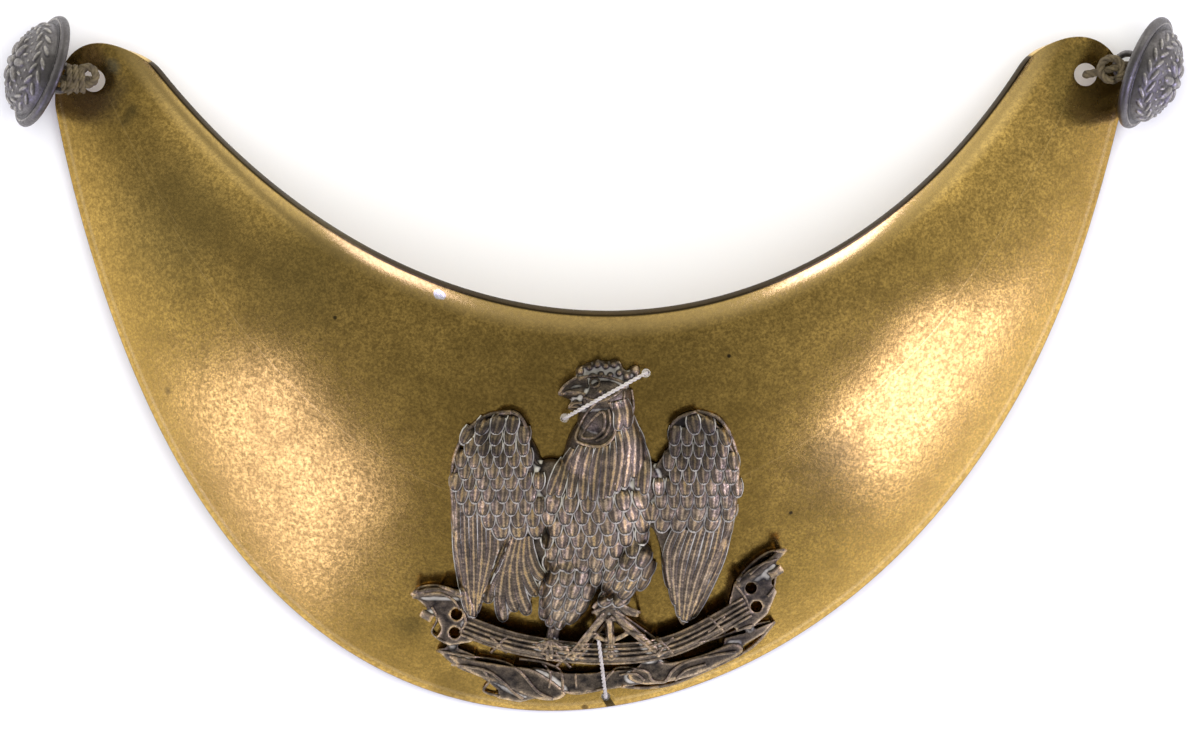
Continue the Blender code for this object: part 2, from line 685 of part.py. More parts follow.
def build_button_front(side, collection, material):
    """Build the domed front, with its rim crimped round the channel that holds the back."""
    outer = BUTTON_DIAMETER / 2
    foot = outer - 0.55 * CRIMP_WIDTH
    half = CRIMP_HEIGHT / 2
    channel = outer - BUTTON_WALL
    ceiling = half - BUTTON_WALL / 2
    lip_top = -half + CRIMP_LIP
    profile = dome_arc(foot - BUTTON_WALL, half, BUTTON_DOME)
    profile += [(foot, half), (outer - 0.25 * CRIMP_WIDTH, half), (outer, 0.35 * half),
                (outer, -0.35 * half), (outer - 0.25 * CRIMP_WIDTH, -half),
                (outer - CRIMP_WIDTH, -half), (outer - CRIMP_WIDTH, lip_top), (channel, lip_top),
                (channel, ceiling)]
    profile += dome_arc(foot - 2 * BUTTON_WALL, ceiling, BUTTON_DOME - BUTTON_WALL)[::-1]
    front = turn_profile(f"button_front_{side.name}", profile, collection)
    front.matrix_world = button_frame(side)
    return finish(front, material)


def build_button_back(side, collection, material):
    """Build the flat back disc with its wire eye soldered on."""
    half = CRIMP_HEIGHT / 2
    radius = BUTTON_DIAMETER / 2 - BUTTON_WALL - FIT_GAP
    seat = -half + CRIMP_LIP + FIT_GAP
    ceiling = half - BUTTON_WALL / 2 - FIT_GAP
    boss = BUTTON_DIAMETER / 2 - CRIMP_WIDTH - FIT_GAP
    profile = [(0.0, ceiling), (radius, ceiling), (radius, seat), (boss, seat), (boss, -half),
               (0.0, -half)]
    disc = turn_profile("back_disc", profile, collection)
    bow = [(EYE_RADIUS, 0.0, -half + BUTTON_WALL / 2)]
    for step in range(9):
        turn = step / 8 * math.pi
        bow.append((EYE_RADIUS * math.cos(turn), 0.0, -EYE_DEPTH - EYE_RADIUS * math.sin(turn)))
    bow.append((-EYE_RADIUS, 0.0, -half + BUTTON_WALL / 2))
    eye = make_tube("eye", bow, EYE_WIRE, collection)
    back = fuse(f"button_back_{side.name}", [disc, eye], collection)
    back.matrix_world = button_frame(side)
    return finish(back, material)


def build_lace(side, collection, material):
    """Build one knotted cord: through the eye, down the horn's hole and up round the horn's edge."""
    frame = button_frame(side)
    eye = frame @ Vector((0.0, 0.0, -EYE_DEPTH))
    through = frame.to_3x3() @ Vector((0.0, 1.0, 0.0))
    hole = lace_hole(side.hand)
    outward = Vector((eye.x - hole.x, eye.y - hole.y, 0.0)).normalized()
    edge = belly_edge_towards(hole, outward)
    up = Vector((0.0, 0.0, 1.0))
    spare = FIT_GAP + LACE_DIAMETER / 2
    hole += outward * FIT_GAP
    below = PLATE_WALL + 1.2 * spare
    half_way = hole.lerp(edge, 0.5)
    round_edge = edge + outward * 1.2 * spare - up * PLATE_WALL / 2
    before_eye = eye - through * (EYE_WIRE / 2 + spare)
    after_eye = eye + through * (EYE_WIRE / 2 + 1.2 * spare)
    knot = hole.lerp(eye, 0.45)
    knot.z = eye.z + EYE_WIRE / 2 + KNOT_HEIGHT / 2 + 1.5 * FIT_GAP
    route = [hole + up * 1.5 * spare, hole - up * PLATE_WALL / 2, hole - up * below,
             half_way - up * below, edge - up * (PLATE_WALL + 0.9 * spare), round_edge,
             round_edge.lerp(before_eye, 0.55), before_eye, eye, after_eye, knot,
             hole.lerp(knot, 0.6)]
    cord = make_tube("cord", smooth_loop(route, 2), LACE_DIAMETER, collection, closed=True,
                     roundness=2)
    heading = math.atan2(outward.y, outward.x)
    lump = make_ball("knot", knot, (KNOT_LENGTH / 2, KNOT_LENGTH * 0.4, KNOT_HEIGHT / 2), heading,
                     collection)
    return finish(fuse(f"lace_{side.name}", [cord, lump], collection), material)


def centre_on_floor(parts, cutters):
    """Parent all to one empty, placed so that the whole stands on the floor, over the origin."""
    graph = bpy.context.evaluated_depsgraph_get()
    corners = []
    for piece in parts.objects:
        shown = piece.evaluated_get(graph)
        corners += [piece.matrix_world @ vertex.co for vertex in shown.data.vertices]
    low = [min(corner[axis] for corner in corners) for axis in range(3)]
    high = [max(corner[axis] for corner in corners) for axis in range(3)]
    centre = bpy.data.objects.new("gorget_centre", None)
    for piece in (*parts.objects, *cutters.objects):
        piece.parent = centre
    parts.objects.link(centre)
    centre.location = (-(low[0] + high[0]) / 2, -(low[1] + high[1]) / 2, -low[2])


def build_gorget():
    """Build the whole gorget."""
    for old in list(bpy.data.objects):
        bpy.data.objects.remove(old)
    parts = make_collection("gorget")
    cutters = make_collection("gorget_cutters")
    brass = make_material("aged_brass", (0.47, 0.30, 0.07), 0.3, 1.0)
    cast = make_material("dark_casting", (0.16, 0.14, 0.12), 0.45, 1.0)
    thread = make_material("white_thread", (0.72, 0.70, 0.64), 0.9, 0.0)
    pewter = make_material("grey_button_metal", (0.30, 0.30, 0.29), 0.5, 1.0)
    cord = make_material("olive_cord", (0.24, 0.20, 0.13), 0.9, 0.0)
    pins = tie_hole_cutters(cutters) + [lace_hole_cutter(side, cutters) for side in SIDES]
    for pin in pins:
        hide_cutter(pin)
    build_plate(parts, pins, brass)
    build_emblem(parts, cast)
    for tie in TIES:
        build_tie(tie, parts, thread)
    for side in SIDES:
        build_button_front(side, parts, pewter)
        build_button_back(side, parts, pewter)
        build_lace(side, parts, cord)
    centre_on_floor(parts, cutters)


build_gorget()
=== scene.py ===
"""Gorget of a civic guard: brass crescent, cast cockerel tied on by threads, and two laced buttons."""

import math
from collections import namedtuple

import bpy
import numpy as np
from mathutils import Matrix, Vector
from mathutils.bvhtree import BVHTree


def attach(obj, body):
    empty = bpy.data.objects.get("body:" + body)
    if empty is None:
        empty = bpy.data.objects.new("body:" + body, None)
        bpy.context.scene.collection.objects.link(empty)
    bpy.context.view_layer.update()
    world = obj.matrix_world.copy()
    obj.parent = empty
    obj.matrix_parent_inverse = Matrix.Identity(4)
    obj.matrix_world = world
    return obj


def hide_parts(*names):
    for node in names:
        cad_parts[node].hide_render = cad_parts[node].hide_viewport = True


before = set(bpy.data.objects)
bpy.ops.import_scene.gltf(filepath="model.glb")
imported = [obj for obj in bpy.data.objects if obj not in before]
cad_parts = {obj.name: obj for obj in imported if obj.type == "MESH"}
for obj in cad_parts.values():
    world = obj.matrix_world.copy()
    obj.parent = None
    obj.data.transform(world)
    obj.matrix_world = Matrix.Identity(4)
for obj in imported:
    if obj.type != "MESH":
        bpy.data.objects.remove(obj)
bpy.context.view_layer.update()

# ---- Camera and light ----
# The gorget lies on its back on a white table, and a long lens looks straight down on it. Softboxes
# low at either side give the pale patches on the brass, and panels of the sky light its far slopes.

MM = 0.001
UP = Vector((0.0, 0.0, 1.0))
PHOTO_WIDTH_SHOWN = 156.7 * MM
CAMERA_HEIGHT = 3.0
PHOTO_MIDDLE = Vector((0.79, -0.12, 0.0)) * MM
SOFTBOX_DISTANCE = 0.60
SOFTBOX_SIZE = (0.34, 0.26)
SOFTBOX_TINT = (0.87, 0.82, 1.55)
SKY_HORIZON = (0.55, 0.54, 0.53, 1.0)
SKY_CROWN = (0.25, 0.25, 0.245, 1.0)
SKY_LEFT = 0.95
SKY_RIGHT = 1.6
SKY_PANELS = 2.1
SKY_STRIP = 0.8


def add_softbox(name, heading, distance, size, watts, colour=(1.0, 1.0, 1.0), seen_in_metal=True):
    """Add a soft rectangular lamp that shines on the gorget from a heading."""
    heading = Vector(heading).normalized()
    bpy.ops.object.light_add(type="AREA", location=heading * distance)
    lamp = bpy.context.object
    lamp.name = name
    lamp.rotation_euler = heading.to_track_quat("Z", "Y").to_euler()
    lamp.data.shape = "RECTANGLE"
    lamp.data.size, lamp.data.size_y = size
    lamp.data.energy = watts
    lamp.data.color = colour
    lamp.visible_glossy = seen_in_metal


bpy.ops.object.camera_add(location=PHOTO_MIDDLE + UP * CAMERA_HEIGHT, rotation=(0, 0, 0))
camera = bpy.context.object
camera.data.sensor_width = 36.0
camera.data.lens = camera.data.sensor_width * CAMERA_HEIGHT / PHOTO_WIDTH_SHOWN
camera.data.clip_end = 20.0
bpy.context.scene.camera = camera

add_softbox("left_softbox", (-0.73, -0.57, 0.40), SOFTBOX_DISTANCE, SOFTBOX_SIZE, 0.62, SOFTBOX_TINT)
add_softbox("right_softbox", (0.82, -0.48, 0.36), SOFTBOX_DISTANCE, SOFTBOX_SIZE, 1.04, SOFTBOX_TINT)
add_softbox("table_light", (0.05, 0.1, 1.0), 1.3, (1.4, 1.4), 18.0, seen_in_metal=False)

world = bpy.data.worlds.new("studio")
world.use_nodes = True
bpy.context.scene.world = world
bpy.context.scene.view_settings.view_transform = "Standard"


def place_node(tree, kind, inputs=(), **settings):
    """Add a node with its settings, and fill its inputs with values or links."""
    node = tree.nodes.new(kind)
    for setting, value in settings.items():
        setattr(node, setting, value)
    for name, value in dict(inputs).items():
        if isinstance(value, bpy.types.NodeSocket):
            tree.links.new(value, node.inputs[name])
        else:
            node.inputs[name].default_value = value
    return node


def rescale(tree, value, low, high, to_low=0.0, to_high=1.0):
    """Spread a value between two limits, and hold it there."""
    limits = {0: value, 1: low, 2: high, 3: to_low, 4: to_high}
    return place_node(tree, "ShaderNodeMapRange", limits).outputs[0]


def work_out(tree, operation, first, second=0.0):
    """Work out one number from two."""
    return place_node(tree, "ShaderNodeMath", {0: first, 1: second}, operation=operation).outputs[0]


def multiply(tree, first, second):
    """Multiply two numbers."""
    return work_out(tree, "MULTIPLY", first, second)


sky = world.node_tree
sky_place = place_node(sky, "ShaderNodeTexCoord").outputs["Generated"]
sky_x, sky_y, sky_z = place_node(sky, "ShaderNodeSeparateXYZ", {0: sky_place}).outputs
sky_ramp = place_node(sky, "ShaderNodeValToRGB", {0: sky_z})
sky_ramp.color_ramp.elements[0].color = SKY_HORIZON
sky_ramp.color_ramp.elements[1].color = SKY_CROWN
sky.links.new(sky_ramp.outputs[0], sky.nodes["Background"].inputs["Color"])
slope = rescale(sky, sky_x, -1.0, 1.0, SKY_LEFT, SKY_RIGHT)
walls = rescale(sky, work_out(sky, "ABSOLUTE", sky_x), 0.12, 0.4, 0.0, SKY_PANELS)
panels = multiply(sky, walls, rescale(sky, sky_y, 0.25, 0.6))
strip = multiply(sky, rescale(sky, sky_x, -0.8, -0.9, 0.0, SKY_STRIP), rescale(sky, sky_y, 0.12, -0.02))
sky_strength = work_out(sky, "ADD", work_out(sky, "ADD", slope, panels), strip)
sky.links.new(sky_strength, sky.nodes["Background"].inputs["Strength"])

bpy.ops.mesh.primitive_plane_add(size=4.0, location=(0, 0, 0))
table = bpy.context.object
table.name = "table"
table_white = bpy.data.materials.new("table_white")
table_white.use_nodes = True
table_shader = table_white.node_tree.nodes["Principled BSDF"]
table_shader.inputs["Base Color"].default_value = (0.93, 0.93, 0.93, 1.0)
table_shader.inputs["Roughness"].default_value = 0.9
table.data.materials.append(table_white)

# ---- Crescent ----
# The plate is one crescent of sheet brass, domed over a former, with its neck edge turned up into a
# rim. Its outline was cut by hand, so it leans, and each horn ends in a round.

PLATE_BREADTH = 51.8 * MM
PLATE_WALL = 0.9 * MM
FAN_HEIGHT = 105.5 * MM
HORN_ANGLE = math.radians(74.6)
HORN_ROUNDING = 6.6 * MM
BELLY_SWAY = 3.3 * MM
BELLY_SWELL = 1.3 * MM
CROWN_RISE = 24.0 * MM
HORN_RISE = 3.6 * MM
BELLY_FULLNESS = 1.9
HORN_LIFT = 2.0 * MM
SIDE_LIFT = 3.0 * MM
RIM_WIDTH = 3.8 * MM
RIM_WIDTH_AT_HORN = 1.6 * MM
RIM_RISE = 1.5 * MM
HOLE_FROM_TIP = 4.7 * MM
HOLE_SHARE = 0.575
LACE_HOLE_DIAMETER = 3.0 * MM
THREAD_HOLE_DIAMETER = 1.15 * MM
DRILL_DEPTH = 8 * PLATE_WALL
EDGE_ROUNDING = 0.22 * MM
TO_ROW = Vector((0.8516, -45.4896, 0.0114)) * MM
BODY_COLUMNS = 230
HORN_COLUMNS = 14
RIM_ROWS = 10
BODY_ROWS = 40

Ellipse = namedtuple("Ellipse", "centre half_width half_length lean")


def standing_ellipse(low, offset, half_width, half_length, lean):
    """Return the leaning ellipse whose lowest point is at the given height."""
    reach = math.hypot(half_length * math.cos(lean), half_width * math.sin(lean))
    return Ellipse(Vector((offset, low + reach)), half_width, half_length, lean)


BELLY = standing_ellipse(0.6 * MM, 4.5 * MM, 72.4 * MM, 111.2 * MM, math.radians(-14.5))
NECK = standing_ellipse(PLATE_BREADTH, -7.4 * MM, 79.7 * MM, 111.5 * MM, math.radians(8.7))
FAN = Vector((0.0, FAN_HEIGHT))


def ray_to_ellipse(angle, ellipse):
    """Return how far the ellipse is from the fan's centre, at an angle from straight down."""
    turn = Matrix.Rotation(-ellipse.lean, 2)
    start = turn @ (FAN - ellipse.centre)
    heading = turn @ Vector((math.sin(angle), -math.cos(angle)))
    start = Vector((start.x / ellipse.half_width, start.y / ellipse.half_length))
    heading = Vector((heading.x / ellipse.half_width, heading.y / ellipse.half_length))
    along = start.dot(heading)
    root = math.sqrt(max(along ** 2 - heading.length_squared * (start.length_squared - 1.0), 0.0))
    return (root - along) / heading.length_squared


def neck_reach(angle):
    """Return how far the neck edge is from the fan's centre."""
    return ray_to_ellipse(angle, NECK)


def belly_reach(angle):
    """Return how far the belly edge is from the fan's centre."""
    wander = BELLY_SWAY * math.sin(3 * angle) + BELLY_SWELL * math.cos(3 * angle)
    return ray_to_ellipse(angle, BELLY) + wander


def horn_reach(hand):
    """Return how far a horn's middle is from the fan's centre."""
    return (neck_reach(hand * HORN_ANGLE) + belly_reach(hand * HORN_ANGLE)) / 2


def rim_width(turn):
    """Return the turned rim's width, at a share of the way round to a horn's tip."""
    return RIM_WIDTH + (RIM_WIDTH_AT_HORN - RIM_WIDTH) * turn


def span_at(angle):
    """Return where the plate begins on a ray from the fan's centre, and its breadth there."""
    near = neck_reach(angle)
    return near, belly_reach(angle) - near


def front_height(angle, share, width):
    """Return the front's height, at a share of the way from the neck to the belly edge."""
    turn = min(abs(angle) / HORN_ANGLE, 1.0)
    slope = CROWN_RISE * BELLY_FULLNESS / PLATE_BREADTH
    edge = PLATE_WALL * math.cos(math.atan(slope))
    edge += HORN_LIFT * turn ** 2 + SIDE_LIFT * math.sin(math.pi * turn) ** 2
    crown = HORN_RISE + (CROWN_RISE - HORN_RISE) * math.cos(turn * math.pi / 2) ** 1.4
    dome = crown * (1.0 - max(share, 0.0) ** BELLY_FULLNESS)
    rim = rim_width(turn)
    rim_share = min(max(share * width / rim, 0.0), 1.0)
    return edge + dome + RIM_RISE * rim / RIM_WIDTH * (1.0 - rim_share) ** 2


def front_point(angle, share):
    """Return the point of the front at a fan angle and a share of its breadth."""
    near, width = span_at(angle)
    reach = near + share * width
    return Vector((reach * math.sin(angle), FAN_HEIGHT - reach * math.cos(angle),
                   front_height(angle, share, width)))


def height_above(x, y):
    """Return the height of the front above a place on the table."""
    angle = math.atan2(x, FAN_HEIGHT - y)
    near, width = span_at(angle)
    return front_height(angle, (math.hypot(x, FAN_HEIGHT - y) - near) / width, width)


def lace_hole(hand):
    """Return the middle of a horn's hole, on the front."""
    return front_point(hand * (HORN_ANGLE - HOLE_FROM_TIP / horn_reach(hand)), HOLE_SHARE)


def plate_columns():
    """List each column's angle and how much of the breadth it keeps, horn to horn."""
    horns = []
    for hand in (-1, 1):
        rounding = HORN_ROUNDING / horn_reach(hand)
        turns = [step / HORN_COLUMNS * math.pi / 2 for step in range(1, HORN_COLUMNS + 1)]
        horns.append([(hand * (HORN_ANGLE - rounding * (1 - math.sin(t))), math.cos(t)) for t in turns])
    left = HORN_ROUNDING / horn_reach(-1) - HORN_ANGLE
    right = HORN_ANGLE - HORN_ROUNDING / horn_reach(1)
    body = [(left + (right - left) * step / BODY_COLUMNS, 1.0) for step in range(BODY_COLUMNS + 1)]
    return horns[0][::-1] + body + horns[1]


def row_share(row, angle, width):
    """Return the share of the breadth at a row: fine rows on the rim, even rows on the dome."""
    turn = min(abs(angle) / HORN_ANGLE, 1.0)
    rim = rim_width(turn) / width
    if row <= RIM_ROWS:
        return rim * row / RIM_ROWS
    return rim + (1.0 - rim) * (row - RIM_ROWS) / BODY_ROWS


def select_only(*pieces):
    """Select just these pieces, the first one active."""
    bpy.ops.object.select_all(action="DESELECT")
    for piece in pieces:
        piece.select_set(True)
    bpy.context.view_layer.objects.active = pieces[0]


def name_new(name):
    """Name the piece that was just added, and bring its place into its mesh."""
    piece = bpy.context.object
    piece.name = piece.data.name = name
    select_only(piece)
    bpy.ops.object.transform_apply(location=True, rotation=True, scale=True)
    return piece


def finish_with(piece, kind, **settings):
    """Add a modifier to a piece and apply it."""
    modifier = piece.modifiers.new(kind.lower(), kind)
    for setting, value in settings.items():
        setattr(modifier, setting, value)
    select_only(piece)
    bpy.ops.object.modifier_apply(modifier=modifier.name)


def shade_smooth(piece):
    """Shade a piece as one smooth surface."""
    select_only(piece)
    bpy.ops.object.shade_smooth()


def mark_points(piece, name, values):
    """Keep one number for each vertex of a piece."""
    mark = piece.data.attributes.new(name, "FLOAT", "POINT")
    mark.data.foreach_set("value", np.asarray(values, dtype=np.float32))


def drill(piece, place, diameter, depth):
    """Drill an upright hole through a piece."""
    bpy.ops.object.select_all(action="DESELECT")
    bpy.ops.mesh.primitive_cylinder_add(vertices=40, radius=diameter / 2, depth=depth, location=place)
    bit = name_new("drill_bit")
    finish_with(piece, "BOOLEAN", operation="DIFFERENCE", object=bit, solver="EXACT")
    bpy.data.objects.remove(bit)


columns = plate_columns()
rows = RIM_ROWS + BODY_ROWS
bpy.ops.object.select_all(action="DESELECT")
bpy.ops.mesh.primitive_grid_add(x_subdivisions=len(columns) - 1, y_subdivisions=rows, size=1.0)
crescent = name_new("crescent")
edge_gaps = []
for vertex in crescent.data.vertices:
    angle, kept = columns[round((vertex.co.x + 0.5) * (len(columns) - 1))]
    width = span_at(angle)[1]
    share = row_share(round((0.5 - vertex.co.y) * rows), angle, width)
    share = 0.5 + (share - 0.5) * kept
    vertex.co = front_point(angle, share)
    edge_gaps.append((1.0 - share) * width / MM if share > 0.5 else -share * width / MM)
mark_points(crescent, "edge_gap", edge_gaps)
finish_with(crescent, "WELD", merge_threshold=0.01 * MM)
finish_with(crescent, "SOLIDIFY", thickness=PLATE_WALL, offset=-1.0, use_even_offset=True)
for hand in (-1, 1):
    drill(crescent, lace_hole(hand), LACE_HOLE_DIAMETER, DRILL_DEPTH)

# The casting lies on the plate's lower middle, tied on by two threads that each run through two small
# holes. Its places are in hundredths of its span, so each form is drawn flat and then laid on the dome.
EMBLEM_SPAN = 48.5 * MM
EMBLEM_RELIEF = 4.4 * MM
EMBLEM_FOOT = Vector((-0.3, 24.28)) * MM
LAY_GAP = 0.3 * MM
THREADS = (
    # name, the two holes, and how high it runs in shares of the relief
    ("thread_upper", (-9.0, 29.2), (12.8, 41.2), 0.93),
    ("thread_lower", (0.0, -29.5), (2.0, -45.8), 0.6),
)


def spot(place, height=0.0):
    """Return a flat place of the emblem, from hundredths of its span and a share of its relief."""
    return Vector((EMBLEM_FOOT.x + place[0] * EMBLEM_SPAN / 100,
                   EMBLEM_FOOT.y + place[1] * EMBLEM_SPAN / 100, height * EMBLEM_RELIEF))


for _, start, end, _ in THREADS:
    for place in (start, end):
        centre = spot(place)
        centre.z = height_above(centre.x, centre.y)
        drill(crescent, centre, THREAD_HOLE_DIAMETER, DRILL_DEPTH)
finish_with(crescent, "BEVEL", width=EDGE_ROUNDING, segments=3, limit_method="ANGLE",
            angle_limit=math.radians(50))
crescent.data.transform(Matrix.Translation(TO_ROW))
shade_smooth(crescent)


def new_material(name, roughness, metallic):
    """Return a material, its tree and its shader."""
    material = bpy.data.materials.new(name)
    material.use_nodes = True
    shader = material.node_tree.nodes["Principled BSDF"]
    shader.inputs["Roughness"].default_value = roughness
    shader.inputs["Metallic"].default_value = metallic
    return material, material.node_tree, shader


def tint(tree, colour, mask, tone, share=1.0):
    """Lay a tone over a colour where a mask is, at a share of its strength."""
    if isinstance(colour, tuple):
        colour = (*colour, 1.0)
    inputs = {0: multiply(tree, mask, share), 6: colour, 7: (*tone, 1.0)}
    return place_node(tree, "ShaderNodeMix", inputs, data_type="RGBA").outputs[2]


def band(tree, value, start, full, fading, end):
    """Return a mask for a band of values, with a soft start and end."""
    return multiply(tree, rescale(tree, value, start, full), rescale(tree, value, end, fading))


def dress(tree, shader, colour, grain, strength, depth):
    """Give a shader its colour and the fine bump of its grain."""
    tree.links.new(colour, shader.inputs["Base Color"])
    bump = place_node(tree, "ShaderNodeBump", {"Strength": strength, "Distance": depth, "Height": grain})
    tree.links.new(bump.outputs[0], shader.inputs["Normal"])


def start_group(name, inputs, outputs):
    """Return a new node group with named sockets, and its input and output nodes."""
    group = bpy.data.node_groups.new(name, "ShaderNodeTree")
    for socket, kind in inputs:
        group.interface.new_socket(socket, in_out="INPUT", socket_type=kind)
    for socket, kind in outputs:
        group.interface.new_socket(socket, in_out="OUTPUT", socket_type=kind)
    return group, group.nodes.new("NodeGroupInput"), group.nodes.new("NodeGroupOutput")


# Mottling: a cloudy mask of a given grain, for tarnish, dirt and worn patches
mottling, ins, outs = start_group(
    "mottling", (("Size", "NodeSocketFloat"), ("Low", "NodeSocketFloat"), ("High", "NodeSocketFloat")),
    (("Mask", "NodeSocketFloat"),))
where = place_node(mottling, "ShaderNodeTexCoord").outputs["Object"]
scale = work_out(mottling, "DIVIDE", 1.0, ins.outputs["Size"])
cloud = place_node(mottling, "ShaderNodeTexNoise", {"Vector": where, "Scale": scale, "Detail": 5.0,
                                                    "Roughness": 0.6})
mask = rescale(mottling, cloud.outputs[0], ins.outputs["Low"], ins.outputs["High"])
mottling.links.new(mask, outs.inputs["Mask"])

# Stain and shade: a ragged round mask about a place on the plate, for stains and for painted shade
stain_and_shade, ins, outs = start_group(
    "stain_and_shade", (("Centre", "NodeSocketVector"), ("Radius", "NodeSocketFloat"), ("Fade", "NodeSocketFloat"),
              ("Ragged", "NodeSocketFloat")), (("Mask", "NodeSocketFloat"),))
where = place_node(stain_and_shade, "ShaderNodeTexCoord").outputs["Object"]
gap = place_node(stain_and_shade, "ShaderNodeVectorMath", {0: where, 1: ins.outputs["Centre"]}, operation="DISTANCE")
rough_edge = place_node(stain_and_shade, "ShaderNodeTexNoise", {"Vector": where, "Scale": 700.0, "Detail": 4.0})
rough_edge = work_out(stain_and_shade, "SUBTRACT", rough_edge.outputs[0], 0.5)
rough_edge = multiply(stain_and_shade, rough_edge, ins.outputs["Ragged"])
gap = work_out(stain_and_shade, "ADD", gap.outputs["Value"], rough_edge)
inner = work_out(stain_and_shade, "SUBTRACT", ins.outputs["Radius"], ins.outputs["Fade"])
mask = place_node(stain_and_shade, "ShaderNodeMapRange", {0: gap, 1: ins.outputs["Radius"], 2: inner, 3: 0.0, 4: 1.0},
                  interpolation_type="SMOOTHSTEP")
stain_and_shade.links.new(mask.outputs[0], outs.inputs["Mask"])


def mottle(tree, size, low=0.4, high=0.6):
    """Place the mottling group in a material."""
    inputs = {"Size": size, "Low": low, "High": high}
    return place_node(tree, "ShaderNodeGroup", inputs, node_tree=mottling).outputs["Mask"]


PIXEL = 0.1306 * MM
MIDDLE_PIXEL = (600.5, 363.5)
MIDDLE_ALONG = 45.5 * MM
PLATE_STAINS_AND_SHADE = (
    # photo place in pixels, radius and fade in millimetres, raggedness, strength and colour
    # painted shade of the casting on the plate round it, with tarnish
    ((600, 500), 33.0, 20.0, 8.0, 0.45, (0.16, 0.10, 0.025)),
    ((98, 90), 5.4, 3.4, 3.0, 0.42, (0.10, 0.08, 0.065)),
    ((114, 68), 1.6, 1.3, 0.8, 0.45, (0.20, 0.22, 0.17)),
    ((1085, 85), 5.9, 1.2, 1.0, 0.35, (0.18, 0.14, 0.035)),
    ((410, 625), 3.0, 2.6, 1.5, 0.5, (0.10, 0.08, 0.03)),
    ((825, 455), 6.0, 5.0, 4.0, 0.35, (0.10, 0.08, 0.03)),
    ((337, 318), 0.35, 0.2, 0.1, 0.9, (0.02, 0.018, 0.015)),
    ((728, 356), 0.35, 0.2, 0.1, 0.9, (0.02, 0.018, 0.015)),
    ((790, 512), 0.35, 0.2, 0.1, 0.9, (0.02, 0.018, 0.015)),
    ((585, 707), 0.6, 0.3, 0.3, 0.8, (0.06, 0.03, 0.015)),
    ((440, 295), 0.8, 0.25, 0.3, 0.95, (0.95, 0.93, 0.88)),
    ((443, 296), 0.7, 0.25, 0.3, 0.95, (0.95, 0.93, 0.88)),
    ((133, 112), 1.5, 1.4, 0.8, 0.55, (0.08, 0.065, 0.03)),
    ((127, 122), 1.3, 1.2, 0.8, 0.5, (0.08, 0.065, 0.03)),
    ((169, 391), 0.9, 0.8, 0.5, 0.6, (0.10, 0.07, 0.03)),
    ((830, 480), 9.0, 7.0, 6.0, 0.35, (0.12, 0.085, 0.03)),
    ((455, 690), 5.0, 4.0, 3.0, 0.35, (0.16, 0.11, 0.035)),
    ((300, 270), 14.0, 12.0, 6.0, 0.35, (0.18, 0.14, 0.05)),
    ((180, 215), 15.0, 12.0, 5.0, 0.42, (0.18, 0.14, 0.05)),
    ((560, 690), 12.0, 9.0, 4.0, 0.3, (0.26, 0.17, 0.05)),
)


def photo_place(pixel):
    """Return the place on the front that shows at a pixel of the photograph."""
    x = (pixel[0] - MIDDLE_PIXEL[0]) * PIXEL
    y = MIDDLE_ALONG - (pixel[1] - MIDDLE_PIXEL[1]) * PIXEL
    return Vector((x, y, height_above(x, y))) + TO_ROW


def add_stains_and_shade(tree, colour, round_marks, lift=0.0):
    """Lay stains and painted shade over a colour, each about a place of the photograph, lifted off the
    plate.
    """
    for pixel, radius, fade, ragged, strength, tone in round_marks:
        inputs = {"Centre": photo_place(pixel) + UP * lift, "Radius": radius * MM, "Fade": fade * MM,
                  "Ragged": ragged * MM}
        spread = place_node(tree, "ShaderNodeGroup", inputs, node_tree=stain_and_shade).outputs["Mask"]
        colour = tint(tree, colour, spread, tone, strength)
    return colour


aged_brass, tree, shader = new_material("aged_brass", 0.3, 1.0)
grain = mottle(tree, 0.55 * MM, 0.42, 0.64)
edge_gap = place_node(tree, "ShaderNodeAttribute", attribute_name="edge_gap").outputs["Fac"]
colour = tint(tree, (0.86, 0.56, 0.15), mottle(tree, 22.0 * MM, 0.35, 0.7), (0.60, 0.395, 0.10))
colour = tint(tree, colour, mottle(tree, 3.5 * MM, 0.42, 0.62), (0.25, 0.16, 0.04), 0.35)
colour = tint(tree, colour, grain, (0.22, 0.14, 0.035), 0.66)
colour = tint(tree, colour, mottle(tree, 0.3 * MM, 0.42, 0.6), (0.20, 0.13, 0.035), 0.54)
for edges, tone, share in (
        # the belly's rubbed gold, a painted shade on the neck's edge, a painted highlight along the neck
        # rim and a painted highlight on the scribed line
        ((-0.01, 0.01, 1.0, 9.0), (0.72, 0.46, 0.12), 0.3),
        # painted shade on the neck edge's end face
        ((-0.35, -0.2, 0.02, 0.05), (0.05, 0.036, 0.018), 1.0),
        # painted highlight along the neck rim, standing for its reflection
        ((-3.2, -1.5, -0.45, -0.2), (0.90, 0.64, 0.24), 0.6),
        # painted highlight on the scribed line by the belly edge
        ((0.55, 0.7, 0.95, 1.15), (0.95, 0.72, 0.38), 0.22)):
    colour = tint(tree, colour, band(tree, edge_gap, *edges), tone, share)
dress(tree, shader, add_stains_and_shade(tree, colour, PLATE_STAINS_AND_SHADE), grain, 0.12, 0.05 * MM)
tree.links.new(rescale(tree, grain, 0.0, 1.0, 0.18, 0.28), shader.inputs["Roughness"])
crescent.data.materials.append(aged_brass)
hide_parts("plate")
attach(crescent, "root")

# ---- Casting: body, head, wings and trophies ----
# The cockerel, fasces, level and ribbon are one brass casting, silvered and gone dark. Its main
# masses are modelled as rounded lumps and slabs, and run together as the founder's wax was.

